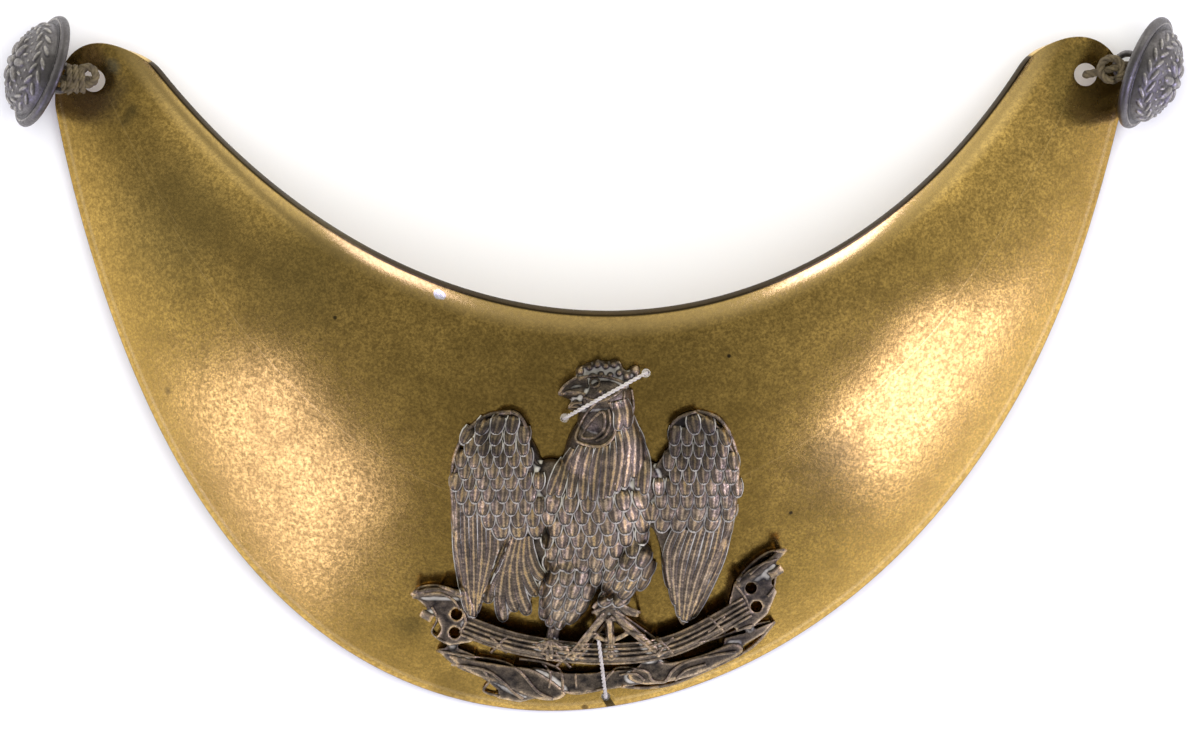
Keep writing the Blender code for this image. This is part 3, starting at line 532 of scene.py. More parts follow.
VOXEL = 0.22 * MM
HOLLOW_REACH = 0.03 * MM
LUMPS = (
    # across, along, half width, half length, turn in degrees, height
    (-0.5, 3.5, 13.5, 16.0, 8, 0.92), (-1.5, -6.0, 12.3, 11.0, 0, 0.8), (1.5, 18.0, 10.8, 14.0, -6, 0.86),
    (2.0, 28.0, 7.6, 9.5, -4, 0.8), (1.6, 34.5, 7.4, 6.2, 10, 0.84), (-5.6, 36.4, 4.6, 2.1, 10, 0.66),
    (-12.0, 12.0, 5.5, 6.5, 20, 0.55), (12.0, 11.0, 5.0, 7.0, -20, 0.55),
    (-7.6, -16.8, 6.6, 10.2, -20, 0.98), (8.2, -11.6, 5.4, 8.6, -35, 0.9), (5.0, -20.6, 2.6, 3.0, 10, 0.5),
    (-25.0, 12.0, 11.0, 17.0, 6, 0.5), (27.5, 12.5, 9.5, 16.0, -8, 0.5),
)
SLABS = (
    # name, height, smooth outline or not, outline
    ("left_wing", 0.3, True, (
        (-25, 31), (-31, 27.5), (-35.5, 21.5), (-39, 13.5), (-39, 4), (-37.5, -7), (-36, -17),
        (-34, -24.5), (-31.5, -20), (-28.5, -11), (-26, -5), (-23, -1.5), (-15, -1.5), (-13, 8),
        (-14, 15), (-17.5, 19), (-18.5, 26), (-21, 30.5))),
    ("right_wing", 0.3, True, (
        (25, 31), (31, 28), (35.5, 22), (37.5, 15), (37, 5), (34, -5), (29.5, -15), (25.5, -22.5),
        (22.5, -26.5), (19.5, -19), (17.5, -9), (15, -1), (12, 2), (12, 10), (16.5, 18), (19, 22),
        (20, 28))),
    ("tail", 0.26, True, (
        (-21, -1), (-25.5, -8), (-29.5, -18.5), (-26.5, -18), (-25.5, -25), (-22, -21.5),
        (-19.5, -23.5), (-17, -17), (-14.5, -13.5), (-14.5, -5), (-17.5, -1))),
    ("upper_bill", 0.6, True, (
        (-3.0, 39.8), (-6.4, 39.9), (-9.2, 38.2), (-10.7, 35.9), (-10.0, 35.2), (-8.8, 35.9), (-5.4, 35.8),
        (-3.0, 35.0))),
    ("lower_bill", 0.45, True, (
        (-7.9, 31.7), (-7.8, 32.8), (-6.0, 34.0), (-3.0, 33.8), (-2.6, 32.4), (-5.0, 32.0))),
    ("comb", 0.5, True, (
        (-5.5, 40.5), (-4.5, 43), (-1.5, 43), (0, 45), (3, 43), (5.5, 44.5), (7, 42), (8.5, 41.5),
        (10.3, 43.4), (10.8, 41), (8.5, 38.5), (4, 36.5), (-3, 37.5))),
    ("left_axe", 0.42, False, (
        (-50, -18.2), (-46, -16.2), (-41, -16.2), (-36.5, -17.0), (-33.8, -21.5), (-34, -31),
        (-40, -32), (-43.5, -30), (-42, -27.5), (-43.5, -24), (-47, -20.8))),
    ("right_axe", 0.42, False, (
        (50, -6), (46, -8.5), (40.5, -11.5), (36.5, -15), (35, -21), (37, -28), (41, -27.5),
        (45.5, -23.5), (48, -17.5), (46.4, -15), (47.2, -10.5))),
    ("ribbon_left_tail", 0.22, False, (
        (-43.5, -33.0), (-38.5, -32.3), (-33, -34.6), (-33, -40), (-37, -38.5), (-40.4, -36))),
    ("ribbon_left", 0.34, True, (
        (-40, -35), (-33, -36), (-24, -37.5), (-17, -38.7), (-9, -44.5), (-12, -46.8),
        (-18, -46), (-26, -42.5), (-34, -39.5))),
    ("ribbon_left_fold", 0.22, False, (
        (-31.5, -40.5), (-24, -42.5), (-16, -46), (-21, -47.4), (-27.5, -46.2), (-26.5, -44.3))),
    ("ribbon_middle", 0.2, True, (
        (-18, -38), (-8, -39.5), (2, -39), (10, -38), (18, -36), (21, -40), (12, -42.3),
        (2, -44), (-8, -45), (-14, -44.5))),
    ("ribbon_right", 0.34, True, (
        (12, -37), (20, -36.5), (28, -34.5), (36, -31.5), (39, -33.5), (34, -36.5), (26, -40),
        (18, -42), (12, -42.5), (8, -40.5))),
    ("ribbon_right_tail", 0.22, False, (
        (34, -30), (40, -28.5), (47.5, -25.4), (44.6, -28.8), (38.4, -32.4), (37, -34.5), (33, -35))),
)
BARS = (
    # diameter in millimetres, height, and the places it passes
    (1.7, 0.34, ((-11.0, -24.0), (-12.8, -31.5))),
    (1.0, 0.6, ((-12.6, -31.0), (-9.2, -32.6), (-8.2, -34))),
    (1.0, 0.6, ((-12.6, -31.0), (-13.2, -34.0), (-13.0, -36))),
    (1.0, 0.6, ((-12.6, -31.0), (-16.2, -32.4))),
    (1.7, 0.38, ((9.5, -15.5), (5.0, -21.5))),
    (1.0, 0.55, ((5.5, -21.0), (1.5, -21.8), (-0.8, -23.6))),
    (1.0, 0.6, ((5.5, -21.0), (8.0, -22.8), (11.0, -23.4))),
    (0.9, 0.55, ((4.5, -20.2), (0.5, -20.4), (-1.2, -22))),
    (1.15, 0.52, ((2.8, -22.0), (-7.5, -35.6))),
    (1.15, 0.52, ((2.8, -22.0), (17.0, -34.6))),
    (0.7, 0.5, ((-2.2, -28.6), (3.0, -30.6), (8.6, -28.2))),
    (0.8, 0.56, ((3.0, -24.0), (3.4, -33.6))),
    (1.1, 0.4, ((-50, -18.4), (-44.5, -17.6), (-37, -18.0))),
    (1.2, 0.44, ((-47.6, -23.0), (-44.5, -24.8))),
    (1.3, 0.44, ((49.4, -11.0), (46.0, -13.2))),
    (1.0, 0.4, ((50, -6), (44.0, -11.4), (37.5, -16.0))),
)
FASCES_LINE = ((-36.0, -26.6), (-21.0, -31.6), (0.0, -34.2), (20.0, -31.9), (40.0, -21.6))
FASCES_RODS = 5
FASCES_WIDTH = 2.5 * MM
CORE_DIAMETER = 0.62 * FASCES_WIDTH
AXE_HOLES = ((-38.0, -23.5), (-38.5, -28.5), (41.0, -16.5), (42.5, -21.5))
AXE_HOLE_DIAMETER = 1.5 * MM
COMB_BEADS = ((-4.6, 41.6), (-2.4, 42.6), (-0.2, 43.4), (2.0, 43.0), (4.2, 43.4), (-4.0, 39.8),
              (-1.6, 40.4), (0.8, 40.8), (3.2, 40.6), (5.6, 41.2), (7.6, 40.4), (9.8, 41.8))
BEAD = (1.5, 1.5, 0, 0.62)
EYE = (0.6, 36.2, 1.1, 0.9, 0, 0.98)
PLUMB_BOB = (3.5, -34.6, *BEAD)


def smooth_line(points, steps, closed=False):
    """Return a smooth line through the points."""
    count = len(points)
    line = []
    for side in range(count if closed else count - 1):
        around = [side - 1, side, side + 1, side + 2]
        around = [i % count if closed else min(max(i, 0), count - 1) for i in around]
        before, start, end, after = (Vector(points[i]) for i in around)
        for step in range(steps):
            t = step / steps
            line.append(0.5 * (2 * start + (end - before) * t
                               + (2 * before - 5 * start + 4 * end - after) * t ** 2
                               + (3 * start - before - 3 * end + after) * t ** 3))
    return line if closed else line + [Vector(points[-1])]


def cast_lump(across, along, half_width, half_length, turn, height):
    """Model a rounded mass of the casting."""
    size = EMBLEM_SPAN / 100
    bpy.ops.object.select_all(action="DESELECT")
    bpy.ops.mesh.primitive_uv_sphere_add(
        segments=32, ring_count=16, radius=1.0, location=spot((across, along)),
        rotation=(0, 0, math.radians(turn)),
        scale=(half_width * size, half_length * size, height * EMBLEM_RELIEF))
    return name_new("lump")


def cast_slab(name, height, smooth, outline):
    """Model a flat part of the casting: its outline, drawn and pulled up."""
    flat = [spot(place) for place in outline]
    if smooth:
        flat = smooth_line(flat, 6, closed=True)
    bpy.ops.object.select_all(action="DESELECT")
    bpy.ops.mesh.primitive_circle_add(vertices=len(flat), radius=1.0, fill_type="NGON")
    slab = name_new(name)
    for vertex, place in zip(slab.data.vertices, flat):
        vertex.co = (place.x, place.y, -0.2 * EMBLEM_RELIEF)
    bpy.ops.object.mode_set(mode="EDIT")
    bpy.ops.mesh.select_all(action="SELECT")
    bpy.ops.mesh.extrude_region_move(
        TRANSFORM_OT_translate={"value": (0, 0, (0.2 + height) * EMBLEM_RELIEF)})
    bpy.ops.mesh.select_all(action="SELECT")
    bpy.ops.mesh.normals_make_consistent(inside=False)
    bpy.ops.object.mode_set(mode="OBJECT")
    return slab


def round_bar(name, line, diameter, sides=8, closed=False):
    """Model a round bar along a line: a curve given a thickness, then made a mesh."""
    drawing = bpy.data.curves.new(name, "CURVE")
    drawing.dimensions = "3D"
    drawing.bevel_depth = diameter / 2
    drawing.bevel_resolution = (sides - 4) // 2
    drawing.use_fill_caps = True
    spline = drawing.splines.new("POLY")
    spline.points.add(len(line) - 1)
    for point, place in zip(spline.points, line):
        point.co = (*place, 1.0)
    spline.use_cyclic_u = closed
    bar = bpy.data.objects.new(name, drawing)
    bpy.context.collection.objects.link(bar)
    select_only(bar)
    bpy.ops.object.convert(target="MESH")
    bar = bpy.context.object
    if not closed:
        finish_with(bar, "WELD", merge_threshold=0.001 * MM)
    return bar


def join_as(name, pieces):
    """Join pieces into one."""
    select_only(*pieces)
    bpy.ops.object.join()
    piece = bpy.context.object
    piece.name = piece.data.name = name
    return piece


def shifted_line(line, shift):
    """Return a line moved sideways in the flat."""
    moved = []
    for index, place in enumerate(line):
        heading = line[min(index + 1, len(line) - 1)] - line[max(index - 1, 0)]
        moved.append(place + Vector((-heading.y, heading.x, 0.0)).normalized() * shift)
    return moved


def mark_hollows(piece, reach, passes=2):
    """Mark each vertex 0 in a hollow, 0.5 on the flat and 1 on a ridge."""
    mesh = piece.data
    count = len(mesh.vertices)
    places = np.empty(count * 3)
    mesh.vertices.foreach_get("co", places)
    places = places.reshape(-1, 3)
    normals = np.empty(count * 3, dtype=np.float32)
    mesh.vertex_normals.foreach_get("vector", normals)
    normals = normals.reshape(-1, 3)
    edges = np.empty(len(mesh.edges) * 2, dtype=np.int32)
    mesh.edges.foreach_get("vertices", edges)
    first, second = edges.reshape(-1, 2).T
    links = np.bincount(first, minlength=count) + np.bincount(second, minlength=count)

    def average(values):
        total = np.bincount(first, values[second], count) + np.bincount(second, values[first], count)
        return total / np.maximum(links, 1)

    around = np.stack([average(places[:, axis]) for axis in range(3)], axis=1)
    rise = -((around - places) * normals).sum(axis=1)
    for _ in range(passes):
        rise = (rise + average(rise)) / 2
    mark_points(piece, "relief", np.clip(0.5 + 0.5 * rise / reach, 0.0, 1.0))


masses = [cast_lump(*lump) for lump in LUMPS]
masses += [cast_slab(*slab) for slab in SLABS]
for diameter, height, places in BARS:
    line = smooth_line([spot(place, height) for place in places], 5)
    masses.append(round_bar("bar", line, diameter * MM))
fasces_line = smooth_line([spot(place, 0.3) for place in FASCES_LINE], 12)
for shift in (-0.25, 0.0, 0.25):
    core = shifted_line(fasces_line, shift * FASCES_WIDTH)
    masses.append(round_bar("fasces_core", core, CORE_DIAMETER))
masses += [cast_lump(*place, *BEAD) for place in COMB_BEADS]
masses += [cast_lump(*EYE), cast_lump(*PLUMB_BOB)]
casting = join_as("casting", masses)
finish_with(casting, "REMESH", mode="VOXEL", voxel_size=VOXEL)
for place in AXE_HOLES:
    drill(casting, spot(place), AXE_HOLE_DIAMETER, 3 * EMBLEM_RELIEF)
finish_with(casting, "SMOOTH", factor=0.5, iterations=2)
for vertex in casting.data.vertices:
    vertex.co.z = max(vertex.co.z, 0.0)
casting_tree = BVHTree.FromObject(casting, bpy.context.evaluated_depsgraph_get())
mark_hollows(casting, HOLLOW_REACH)


def cast_height(x, y):
    """Return the height of the casting's flat model at a place."""
    hit = casting_tree.ray_cast(Vector((x, y, 4 * EMBLEM_RELIEF)), -UP)[0]
    return hit.z if hit else 0.0


def lay_on_crescent(piece):
    """Lift each point of a flat piece by the height of the crescent below it."""
    for vertex in piece.data.vertices:
        vertex.co.z += height_above(vertex.co.x, vertex.co.y) + LAY_GAP
    piece.data.transform(Matrix.Translation(TO_ROW))
    piece.data.update()


# ---- Feathers ----
# Scales, hackles, quills and tail feathers were chased into the model before it was cast. Each is
# shaped once as a blade with a raised rib, and copies are bent along their lines and laid in rows.

ROOT_SHARE = 0.35
BLUNT_TIP = 0.15
FEATHER_WALL = 0.16 * MM
SCALE_WANDER = 0.35
SCALE_CROWN = 0.72 * MM


def shape_blade(name, across, along, barbs, tip_fall):
    """Model one feather flat: x across it from -1 to 1, y along it from 0 to 1, z its rise."""
    columns, rows = len(across) - 1, len(along) - 1
    bpy.ops.object.select_all(action="DESELECT")
    bpy.ops.mesh.primitive_grid_add(x_subdivisions=columns, y_subdivisions=rows, size=2.0)
    blade = name_new(name)
    reliefs = []
    for vertex in blade.data.vertices:
        column = round((vertex.co.x + 1) / 2 * columns)
        row = round((vertex.co.y + 1) / 2 * rows)
        side, rise = across[column]
        if 0 < column < columns and side != 0.0:
            rise += barbs * (0.5 if row % 2 else -0.5)
        rise *= min((1.0 - along[row]) * tip_fall, 1.0)
        vertex.co = (side, along[row], rise)
        reliefs.append(rise)
    mark_points(blade, "relief", reliefs)
    return blade


def bend_blade(blade, line, half_width, crown, root_width, tip_from):
    """Copy a feather, bend it along a flat line with a rounded tip, and lay it on the casting."""
    feather = blade.copy()
    feather.data = blade.data.copy()
    bpy.context.collection.objects.link(feather)
    last = len(line) - 1
    for vertex in feather.data.vertices:
        side, share, rise = vertex.co
        step = min(int(share * last), last - 1)
        place = line[step].lerp(line[step + 1], share * last - step)
        heading = line[min(step + 2, last)] - line[max(step - 1, 0)]
        square = Vector((-heading.y, heading.x, 0.0)).normalized()
        narrow = root_width + (1 - root_width) * min(share / ROOT_SHARE, 1.0)
        past = max(share - tip_from, 0.0) / (1 - tip_from)
        narrow *= max(math.sqrt(1 - past ** 2), BLUNT_TIP)
        place = place + square * side * half_width * narrow
        lift = (0.12 + 0.88 * share) * (0.42 + 0.58 * rise) * crown
        vertex.co = (place.x, place.y, cast_height(place.x, place.y) + lift)
    return feather


SCALE_ROWS = (
    # start, end, count, length, heading at start and end in degrees
    ((-11.5, 8.6), (10.5, 9.6), 6, 4.9, -100, -82), ((-15.5, 5.5), (14.3, 6.7), 8, 4.9, -98, -80),
    ((-11.8, 2.4), (11.0, 3.4), 6, 4.9, -96, -82), ((-15.7, -0.9), (13.9, 0.3), 8, 4.9, -94, -84),
    ((-11.8, -4.0), (9.6, -3.0), 6, 4.9, -92, -86), ((-14.4, -7.3), (9.8, -6.1), 7, 4.6, -95, -95),
    ((-10.2, -8.3), (0.1, -7.8), 4, 4.2, -110, -105), ((-13.9, -11.4), (1.3, -11.1), 5, 4.4, -110, -105),
    ((-13.9, -14.5), (-2.5, -15.0), 4, 4.4, -112, -110),
    ((-14.8, -17.4), (-2.0, -18.8), 5, 4.4, -112, -112),
    ((-13.0, -20.4), (-5.8, -21.6), 3, 4.4, -105, -112), ((-13.2, -22.6), (-7.8, -24.0), 3, 3.6, -98, -108),
    ((5.0, -7.0), (13.0, -6.2), 3, 4.8, -118, -112), ((2.3, -10.1), (15.7, -9.3), 5, 4.8, -122, -118),
    ((3.4, -13.0), (12.8, -12.6), 4, 4.6, -126, -122), ((3.0, -15.8), (10.2, -15.8), 3, 4.2, -130, -126),
    ((3.4, -18.2), (7.4, -18.4), 2, 3.6, -130, -130),
    ((-31.4, 28.8), (-20.4, 29.8), 4, 4.4, -112, -90), ((-33.6, 26.4), (-19.8, 27.0), 5, 4.6, -115, -90),
    ((-35.2, 23.6), (-19.0, 23.9), 6, 4.6, -108, -90), ((-36.6, 20.6), (-19.6, 20.9), 6, 4.6, -104, -90),
    ((-37.4, 17.6), (-19.0, 17.9), 6, 4.6, -100, -88), ((-37.6, 14.6), (-15.4, 14.9), 7, 4.6, -96, -86),
    ((-37.6, 11.4), (-15.8, 11.7), 7, 4.8, -92, -88), ((-34.0, 8.0), (-15.8, 8.4), 6, 4.8, -90, -90),
    ((-31.4, 4.8), (-16.0, 5.2), 5, 5.0, -90, -90), ((-26.6, 1.8), (-17.0, 2.2), 3, 4.8, -92, -92),
    ((23.0, 29.6), (30.4, 29.2), 3, 4.4, -88, -75), ((20.6, 26.8), (33.4, 26.4), 5, 4.6, -92, -70),
    ((19.8, 23.6), (34.8, 23.2), 6, 4.6, -92, -76), ((19.6, 20.2), (36.0, 19.9), 6, 4.6, -92, -82),
    ((19.0, 16.8), (36.6, 16.5), 6, 4.8, -92, -86), ((15.8, 13.4), (36.6, 13.2), 7, 4.8, -94, -90),
    ((14.8, 10.0), (36.2, 9.9), 7, 4.8, -96, -94), ((14.8, 6.6), (35.8, 6.6), 6, 4.8, -96, -98),
    ((16.0, 3.6), (33.6, 3.8), 5, 4.8, -98, -100),
)
HACKLES = (
    ((-9.0, 18.4), (-10.8, 14.2), (-13.0, 8.4)), ((-6.4, 20.8), (-8.8, 15.6), (-10.6, 8.0)),
    ((-4.2, 21.6), (-6.0, 16.0), (-7.4, 7.4)), ((-2.0, 21.4), (-3.6, 15.4), (-4.2, 6.8)),
    ((0.4, 21.2), (-0.8, 15.0), (-1.4, 6.6)), ((2.4, 21.6), (2.0, 15.0), (1.2, 7.0)),
    ((4.2, 23.0), (4.4, 17.0), (2.8, 7.8)), ((5.4, 25.6), (6.4, 19.4), (4.6, 9.0)),
    ((6.4, 28.6), (8.2, 21.4), (6.8, 10.0)), ((7.6, 31.0), (9.6, 24.2), (9.4, 12.6)),
    ((8.8, 28.4), (11.2, 21.4), (10.6, 10.0)), ((9.6, 24.6), (12.4, 18.0), (12.2, 8.4)),
    ((4.6, 33.6), (5.6, 30.0), (5.2, 26.0)), ((6.8, 34.2), (7.6, 30.4), (7.6, 26.6)),
)
QUILLS = (
    ((-37.9, 8.0), (-37.8, -5.1), (-36.4, -14.7), (-34.8, -23.0)),
    ((-35.9, 7.0), (-35.6, -5.1), (-34.9, -14.7), (-34.2, -24.2)),
    ((-33.6, 6.0), (-33.4, -5.1), (-33.3, -14.7), (-33.5, -24.6)),
    ((-31.3, 4.6), (-31.1, -5.8), (-31.8, -14.7), (-32.8, -23.2)),
    ((-29.0, 3.2), (-29.0, -6.5), (-30.4, -14.0), (-32.2, -20.9)),
    ((-26.7, 1.2), (-27.0, -6.2), (-28.8, -12.6), (-31.0, -18.0)),
    ((-24.6, -0.4), (-25.3, -4.8), (-27.0, -9.8), (-29.4, -14.4)),
    ((35.6, 5.0), (33.4, -6.5), (29.8, -15.4), (25.2, -24.5)),
    ((33.2, 3.6), (30.9, -7.2), (27.7, -16.1), (24.3, -25.0)),
    ((30.6, 2.2), (28.3, -7.8), (25.7, -16.1), (23.5, -25.6)),
    ((28.2, 1.1), (25.6, -7.8), (23.8, -16.1), (22.8, -25.4)),
    ((25.7, 0.4), (23.0, -7.8), (21.8, -16.1), (21.9, -24.3)),
    ((23.2, -0.6), (20.7, -7.2), (20.1, -14.1), (20.8, -21.0)),
    ((20.6, -1.2), (18.7, -6.2), (18.6, -11.7), (19.4, -16.5)),
)
TAIL_FEATHERS = (
    ((-23.4, -2.4), (-26.5, -10.2), (-29.0, -15.8), (-29.6, -20.4)),
    ((-22.6, -2.4), (-25.3, -11.6), (-26.3, -18.8), (-25.4, -25.4)),
    ((-21.6, -2.4), (-23.6, -11.3), (-23.6, -18.2), (-22.0, -22.6)),
    ((-20.6, -2.4), (-21.8, -10.6), (-20.9, -17.5), (-18.8, -23.6)),
    ((-19.6, -2.4), (-20.0, -9.2), (-18.6, -14.7), (-16.4, -18.4)),
    ((-18.6, -2.4), (-18.2, -7.2), (-16.8, -11.4), (-14.8, -13.8)),
)
# profiles across a feather give its rise and its tone: the rib comes out pale, partly as a painted
# highlight
PAD = ((-1.0, 0.0), (-0.64, 0.8), (-0.3, 0.68), (0.0, 1.0), (0.3, 0.68), (0.64, 0.8), (1.0, 0.0))
PAD_ROWS = (0.0, 0.3, 0.52, 0.7, 0.84, 0.93, 1.0)
VANE = ((-1.0, 0.0), (-0.66, 0.72), (-0.34, 0.62), (0.0, 1.0), (0.34, 0.62), (0.66, 0.72), (1.0, 0.0))


def lay_scales(blade, rows):
    """Lay rows of scale feathers, each a little uneven as a chaser's are."""
    feathers = []
    for row, (start, end, count, length, first_turn, last_turn) in enumerate(rows):
        spacing = math.dist(start, end) / max(count - 1, 1)
        for index in range(count - row % 2):
            share = (index + 0.5 * (row % 2)) / max(count - 1, 1)
            wander = math.sin(12.7 * index + 7.3 * row), math.sin(5.1 * index + 11.9 * row + 1.0)
            root = Vector(start).lerp(Vector(end), share) + Vector(wander) * SCALE_WANDER
            turn = math.radians(first_turn + (last_turn - first_turn) * share + 6 * wander[0])
            tip = root + Vector((math.cos(turn), math.sin(turn))) * length * (1.1 + 0.07 * wander[1])
            line = [spot(root.lerp(tip, step / 3)) for step in range(4)]
            half_width = (0.55 + 0.04 * wander[1]) * spacing * EMBLEM_SPAN / 100
            feathers.append(bend_blade(blade, line, half_width, SCALE_CROWN, 0.75, 0.12))
    return feathers


def lay_blades(blade, lines, half_width, crown, root_width, tip_from):
    """Lay long feathers, each along its own line."""
    return [bend_blade(blade, smooth_line([spot(place) for place in line], 8), half_width, crown,
                       root_width, tip_from) for line in lines]


def close_and_lay(name, feathers):
    """Join feathers, give them a thickness and lay them on the crescent."""
    piece = join_as(name, feathers)
    finish_with(piece, "SOLIDIFY", thickness=FEATHER_WALL, offset=-1.0)
    lay_on_crescent(piece)
    shade_smooth(piece)
    return piece


scale_blade = shape_blade("scale_blade", PAD, PAD_ROWS, 0.0, 6.0)
quill_blade = shape_blade("quill_blade", VANE, [row / 52 for row in range(53)], 0.12, 30.0)
hackle_blade = shape_blade("hackle_blade", VANE, [row / 14 for row in range(15)], 0.0, 14.0)
casting_pieces = [
    casting,
    close_and_lay("scale_feathers", lay_scales(scale_blade, SCALE_ROWS)),
    close_and_lay("hackles", lay_blades(hackle_blade, HACKLES, 0.78 * MM, 0.46 * MM, 0.6, 0.55)),
    close_and_lay("quills", lay_blades(quill_blade, QUILLS, 0.6 * MM, 0.4 * MM, 0.9, 0.75)),
    close_and_lay("tail_feathers", lay_blades(quill_blade, TAIL_FEATHERS, 0.8 * MM, 0.46 * MM, 0.6, 0.8)),
]
for blade in (scale_blade, quill_blade, hackle_blade):
    bpy.data.objects.remove(blade)

# ---- Chased lines ----
# The fasces' rods, the level's edges, the ribbon's borders, the wing edges, claws, bill and wattles
# stand out as fine raised lines. They are part of the casting, sharpened with a chasing tool.

CHASED_LINES = (
    # diameter in millimetres, and the places it passes
    # the level and its plumb line
    (0.42, ((1.5, -23.1), (-3, -28.5), (-7.6, -34.3))),
    (0.42, ((3.3, -24.5), (-0.9, -29.7), (-5.2, -35.1))),
    (0.42, ((4.6, -22.4), (11.1, -27.1), (17.7, -31.9))),
    (0.42, ((3.3, -24.1), (8.7, -28.5), (14.2, -33))),
    (0.34, ((2.3, -24.7), (2.2, -28.5), (2.3, -31.9))),
    (0.34, ((3.9, -24.7), (4, -28.5), (4.1, -31.9))),
    (0.38, ((7, -27.9), (12.5, -29.3))),
    (0.38, ((-1.4, -28.6), (1.5, -29))),
    # the claws
    (0.5, ((4.1, -18.7), (1.5, -21.6), (-1.8, -23.1))),
    (0.5, ((4.1, -18.7), (7, -21.3), (11.1, -23))),
    (0.5, ((4.1, -18.8), (3.9, -21.6))),
    (0.5, ((-12.2, -27.4), (-12.9, -30.5), (-15, -33.8))),
    (0.5, ((-12.9, -30.5), (-9.5, -33.1))),
    (0.5, ((-12.9, -30.5), (-12.4, -34.7))),
    (0.5, ((-12.9, -30.7), (-16.4, -31.9))),
    # the bill
    (0.4, ((-5.7, 40.1), (-8.5, 38.2), (-10.3, 36), (-9.8, 35.4), (-8.1, 36.2), (-5.4, 36), (-3.4, 35.4))),
    (0.34, ((-7.8, 31.8), (-6.5, 33.1), (-4.3, 33.3))),
    (0.34, ((-7.6, 31.5), (-5.4, 31.6), (-3.9, 32.3))),
    # the comb's foot and the face
    (0.42, ((-5.2, 39.5), (-2.3, 40.4), (1.5, 40.3), (4.6, 39.5), (7.3, 38.4))),
    (0.38, ((-3.9, 34.7), (0.1, 33.7), (4.1, 35.1), (7.3, 37.8))),
    # the wattles and the ear
    (0.45, ((0, 33.6), (-2.5, 31.2), (-4.8, 27.2), (-5.9, 23.5), (-3.3, 22), (0.8, 21.6), (3.7, 23.7),
            (4.7, 27.1), (4.1, 30.7), (3, 33.4))),
    (0.4, ((0.7, 30.8), (-1.8, 28.5), (-4.3, 24.3), (-1.2, 23.9), (1.5, 26.3), (1.7, 30), (1, 30.9))),
    (0.34, ((2.8, 31.6), (3.2, 27.9), (1.9, 24.5), (-0.6, 23))),
    (0.42, ((5.1, 28.9), (7.3, 28.7), (8.9, 29.6), (9.4, 32.5), (8.8, 36.9))),
    (0.34, ((5.8, 30.7), (7.7, 30.9), (8.1, 34.1))),
    (0.34, ((4.7, 31.4), (6.5, 33), (7, 36.2))),
    # the wings' edges
    (0.7, ((-23.2, 30.7), (-29.4, 29.8), (-34.8, 25.7), (-38, 19.7), (-39, 12.8), (-38.6, 4.5),
            (-38.1, -3.7), (-37, -13.3), (-35.5, -21.6), (-34, -23.8))),
    (0.7, ((26.3, 30.9), (31.8, 29.2), (35.2, 24.5), (37.1, 17.6), (36.6, 8.7), (35.1, 0.4), (31.8, -7.8),
            (27.6, -16.8), (23.4, -25))),
    (0.5, ((-23.2, 30.7), (-20.5, 29.2), (-19, 25.2), (-18.6, 18.3))),
    (0.5, ((26.3, 30.9), (21.6, 29.2), (19.5, 26.5), (19.3, 21))),
    # the axes
    (0.6, ((-49.9, -18.2), (-47.3, -16.4), (-42.5, -16.1), (-37.1, -18.3), (-35.1, -22.3))),
    (0.34, ((-46.6, -18.2), (-42.5, -17.9), (-38.8, -19.7), (-37.1, -22.3))),
    (0.34, ((-44.6, -21.6), (-43.2, -25), (-44.6, -28.5), (-41.1, -31.2))),
    (0.34, ((-36.3, -22.3), (-35.5, -25.7), (-37.3, -28.7))),
    (0.6, ((50.2, -6.3), (45.5, -7.2), (40.9, -10.5), (37.4, -14.6))),
    (0.34, ((48.1, -8.7), (44.2, -9.9), (40.7, -12.8))),
    (0.34, ((47.6, -13.3), (47, -16.8), (45.5, -18.8))),
    (0.34, ((36.6, -15.4), (39.3, -18.8), (40.7, -22.3))),
    # the ribbon
    (0.4, ((-43.2, -33.4), (-35.6, -34.8), (-26.3, -36.2), (-21.2, -38.9), (-16.4, -44.3), (-12.2, -46.5))),
    (0.4, ((-39.5, -37.1), (-30.8, -38.5), (-26, -41.5), (-22.6, -44.8), (-20.2, -46.5))),
    (0.36, ((-30.8, -38.8), (-29.3, -41.5), (-30.8, -44.3), (-26.7, -45.7))),
    (0.4, ((-21.2, -35.6), (-15, -36.5), (-10.2, -38.9), (-9.5, -44.3))),
    (0.34, ((-15, -36.9), (-12.9, -39.5), (-13.2, -43.6))),
    (0.34, ((-6.1, -39.6), (-5.9, -43.6))),
    (0.34, ((-9.5, -44.3), (-5.4, -45), (1.5, -43.7))),
    (0.42, ((1.5, -41.7), (4.7, -38.4), (8.4, -38.1), (13.1, -39.2), (14.6, -41.5), (18, -41.7),
            (20.1, -38.8), (24.2, -36.3), (31.1, -34.7), (37.1, -33.8))),
    (0.42, ((6.3, -43.1), (12.5, -43.5), (19.4, -42.6), (26.3, -40), (35.2, -36), (42.1, -31.9),
            (47.5, -25.6))),
    (0.34, ((5.6, -40), (9.8, -39.6), (12.5, -41.5))),
    (0.34, ((20.8, -41.5), (23.5, -38.8), (29, -37.1))),
    (0.36, ((27, -31.2), (33.1, -29.6), (40.7, -26.8), (46.2, -25.7))),
)
BINDINGS = (
    # left, top, right and bottom of the crosses that bind the fasces
    (-28.9, -29.6, -24.5, -34), (-11.7, -33.7, -7.3, -38.1),
    (15.8, -29.8, 20.2, -34.3), (29.6, -24.1, 34, -28.5),
)
BINDING_DIAMETER = 0.4
RINGS = (
    # centre, radius, and diameter in millimetres: round the nostril and the plumb bob
    ((-0.9, 38.6), 1.25, 0.34), ((3.4, -34.6), 1.1, 0.4),
)
ROD_DIAMETER = 0.36 * MM
CHASE_RISE = 0.08 * MM
# the chased lines' tone, which makes them pale: partly wear, partly a painted highlight
CHASED_TONE = 0.78


def chase(line, diameter):
    """Model a raised line that follows the casting's surface."""
    raised = [Vector((place.x, place.y, cast_height(place.x, place.y) + CHASE_RISE)) for place in line]
    return round_bar("chased_line", raised, diameter, 6)


